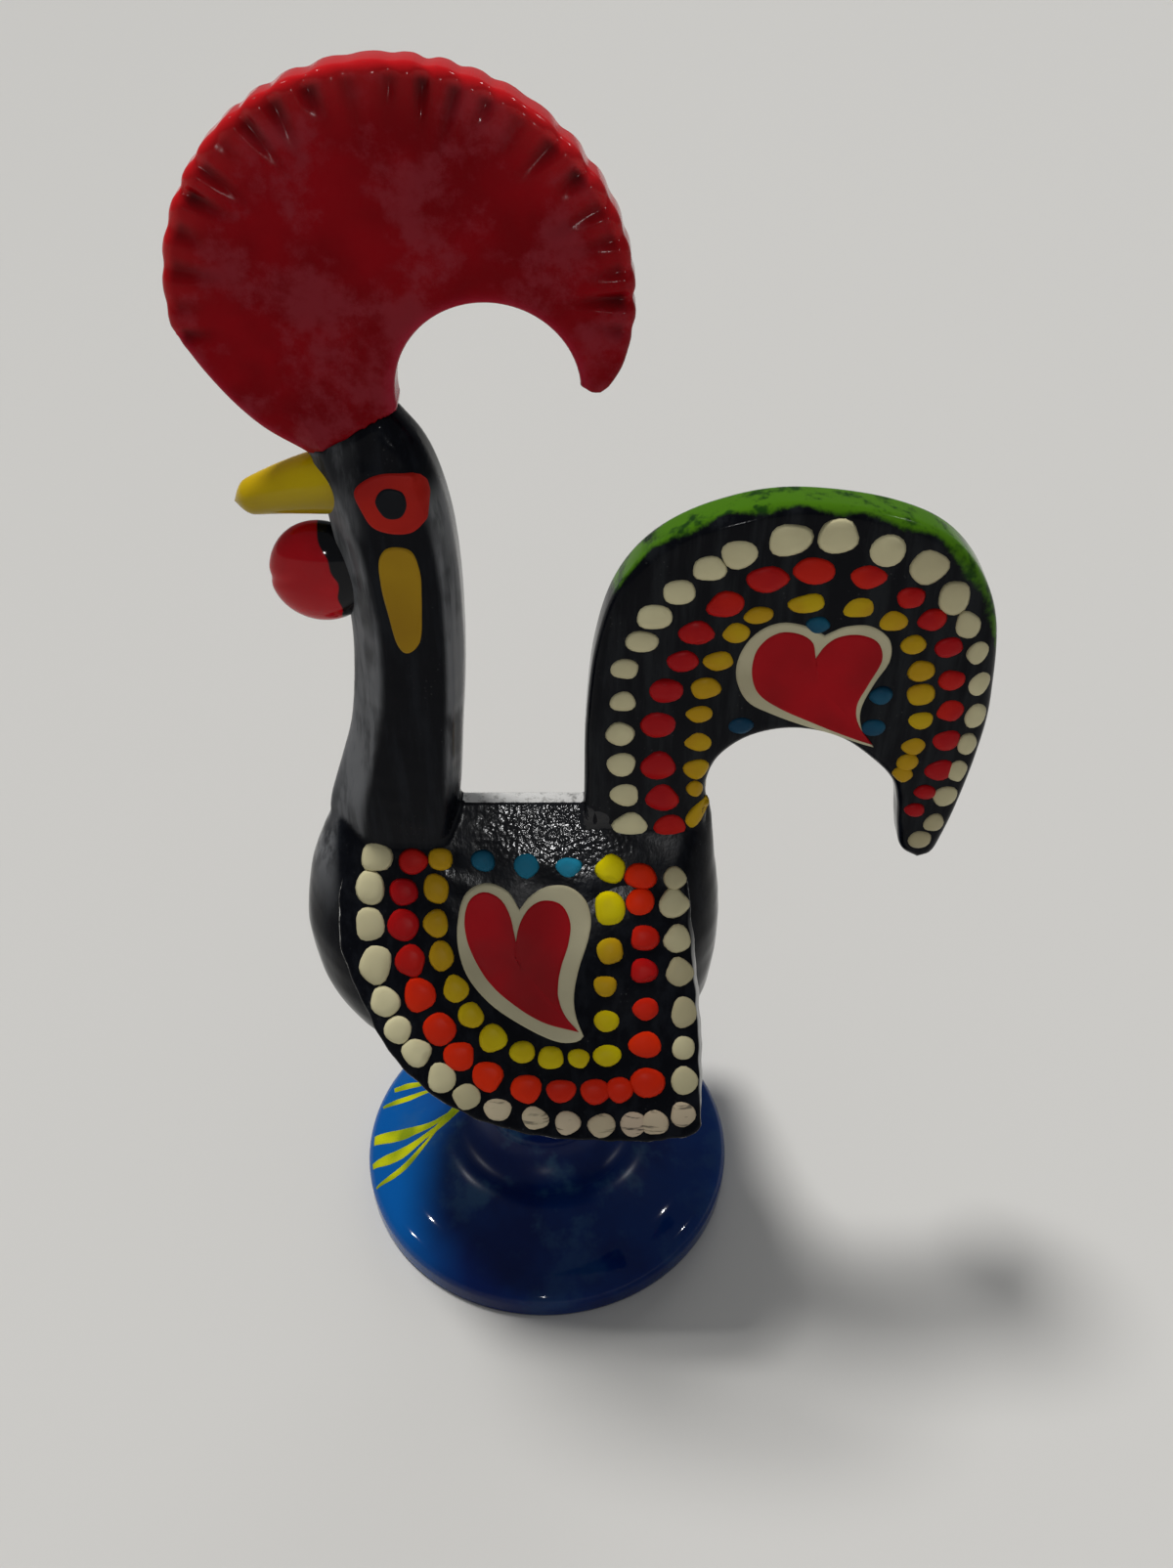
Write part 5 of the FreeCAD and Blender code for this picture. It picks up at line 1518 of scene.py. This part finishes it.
# %% [markdown]
# ## Screw and washer
# The screw and its washer keep their CAD shapes. They get plain steel with turning marks that run round
# the axis: noise read along the distance from the axis makes fine rings.

# %% Steel
def turned_steel():
    """Two greys by a smudge, and rings that raise the surface by a hundredth of a millimetre."""
    paint = Paint("turned_steel", roughness=0.35, metallic=1.0)
    from_axis = paint.length(paint.squeezed((1.0, 1.0, 0.0)))
    way_out = paint.node("ShaderNodeCombineXYZ", X=from_axis).outputs[0]
    rings = paint.noise(4200.0, 3.0, place=way_out)
    smudge = paint.noise(500.0, 3.0)
    colour = paint.mix(smudge, (0.40, 0.39, 0.37), (0.60, 0.60, 0.60))
    return paint.finish(colour, paint.range(smudge, 0.25, 0.45), rings, 0.01)


steel = turned_steel()
for name in ("screw", "washer"):
    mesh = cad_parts[name].data
    mesh.materials.clear()
    mesh.materials.append(steel)
print("steel on screw and washer")

# %% [markdown]
# ## Stage and light
# The bird stands on a plain pale board in soft light. The board is large enough that the photograph's
# view never reaches its edge. A view from low down does.

# %% Stage
FLOOR_HALF = 3000.0
floor_corners = [[(x, y, 0.0) for x in (-FLOOR_HALF, FLOOR_HALF)] for y in (-FLOOR_HALF, FLOOR_HALF)]
floor_mesh = mesh_from("floor", floor_corners, grid_quads(2, 2, wrap_columns=False), merge=False)
floor_paint = Paint("pale_floor", roughness=0.6, specular=0.2)
floor_paint.put((0.62, 0.615, 0.60, 1.0), floor_paint.shader["Base Color"])
floor_mesh.materials.append(floor_paint.material)
floor = bpy.data.objects.new("floor", floor_mesh)
scene.collection.objects.link(floor)
print("floor:", 2 * FLOOR_HALF * MM, "metres across")

# %% [markdown]
# A soft key from above, a little behind the bird's left shoulder, draws the shadow to the front and
# right. Broad fills light the faces. These three are suns several degrees wide, and they leave no mirror
# image. Two small lamps leave pin-sharp highlights on the wet-looking paint, and a third is placed where
# the flank mirrors it to the camera, so that the rough enamel under the tail glitters.

# %% Lights
LAMP_AIM = (0.005, 0.0, 0.07)
GLINT_PIXELS = (570, 829)


def light(name, kind, way, energy, place=(0.0, 0.0, 0.0), **settings):
    """A light that shines against the direction in which it stands."""
    data = bpy.data.lights.new(name, kind)
    data.energy = energy
    for key, value in settings.items():
        setattr(data, key, value)
    made = bpy.data.objects.new(name, data)
    made.location = place
    made.rotation_euler = way.to_track_quat("Z", "Y").to_euler()
    scene.collection.objects.link(made)
    return made


def sun(name, direction, energy, spread, colour=(1.0, 1.0, 1.0)):
    """Light of even strength from one direction. Glossy paint doesn't mirror its wide disc."""
    made = light(name, "SUN", Vector(direction), energy, angle=math.radians(spread), color=colour)
    made.visible_glossy = False


def lamp(name, direction, distance, size, energy, aim=LAMP_AIM):
    """A disc of light that faces a point, by default the middle of the bird. Only its mirror image
    shows."""
    way = Vector(direction).normalized()
    place = Vector(aim) + way * distance
    light(name, "AREA", way, energy, place, shape="DISK", size=size).visible_diffuse = False


sun("soft_key", (-0.26, 0.25, 1.0), 2.35, 11.0, (1.0, 0.985, 0.96))
sun("front_fill", (-0.25, -1.0, 0.30), 0.16, 40.0)
sun("rear_fill", (0.25, 1.0, 0.30), 0.60, 40.0)
lamp("pin_left", (-0.55, 0.10, 0.75), 0.80, 0.018, 0.6)
lamp("pin_right", (0.62, 0.12, 0.80), 0.80, 0.018, 0.5)
glint_place = seen_on(GLINT_PIXELS, FLANK_POINT, FLANK_OUT)
view = (glint_place - CAMERA_PLACE) / np.linalg.norm(glint_place - CAMERA_PLACE)
mirrored = view - 2 * (view @ FLANK_OUT) * FLANK_OUT
lamp("saddle_glint", mirrored, 0.25, 0.010, 0.04, glint_place * MM)
world = bpy.data.worlds.new("even_grey")
world.use_nodes = True
scene.world = world
background = next(n for n in world.node_tree.nodes if n.type == "BACKGROUND").inputs
background["Color"].default_value = (0.97, 0.985, 1.0, 1.0)
background["Strength"].default_value = 0.21
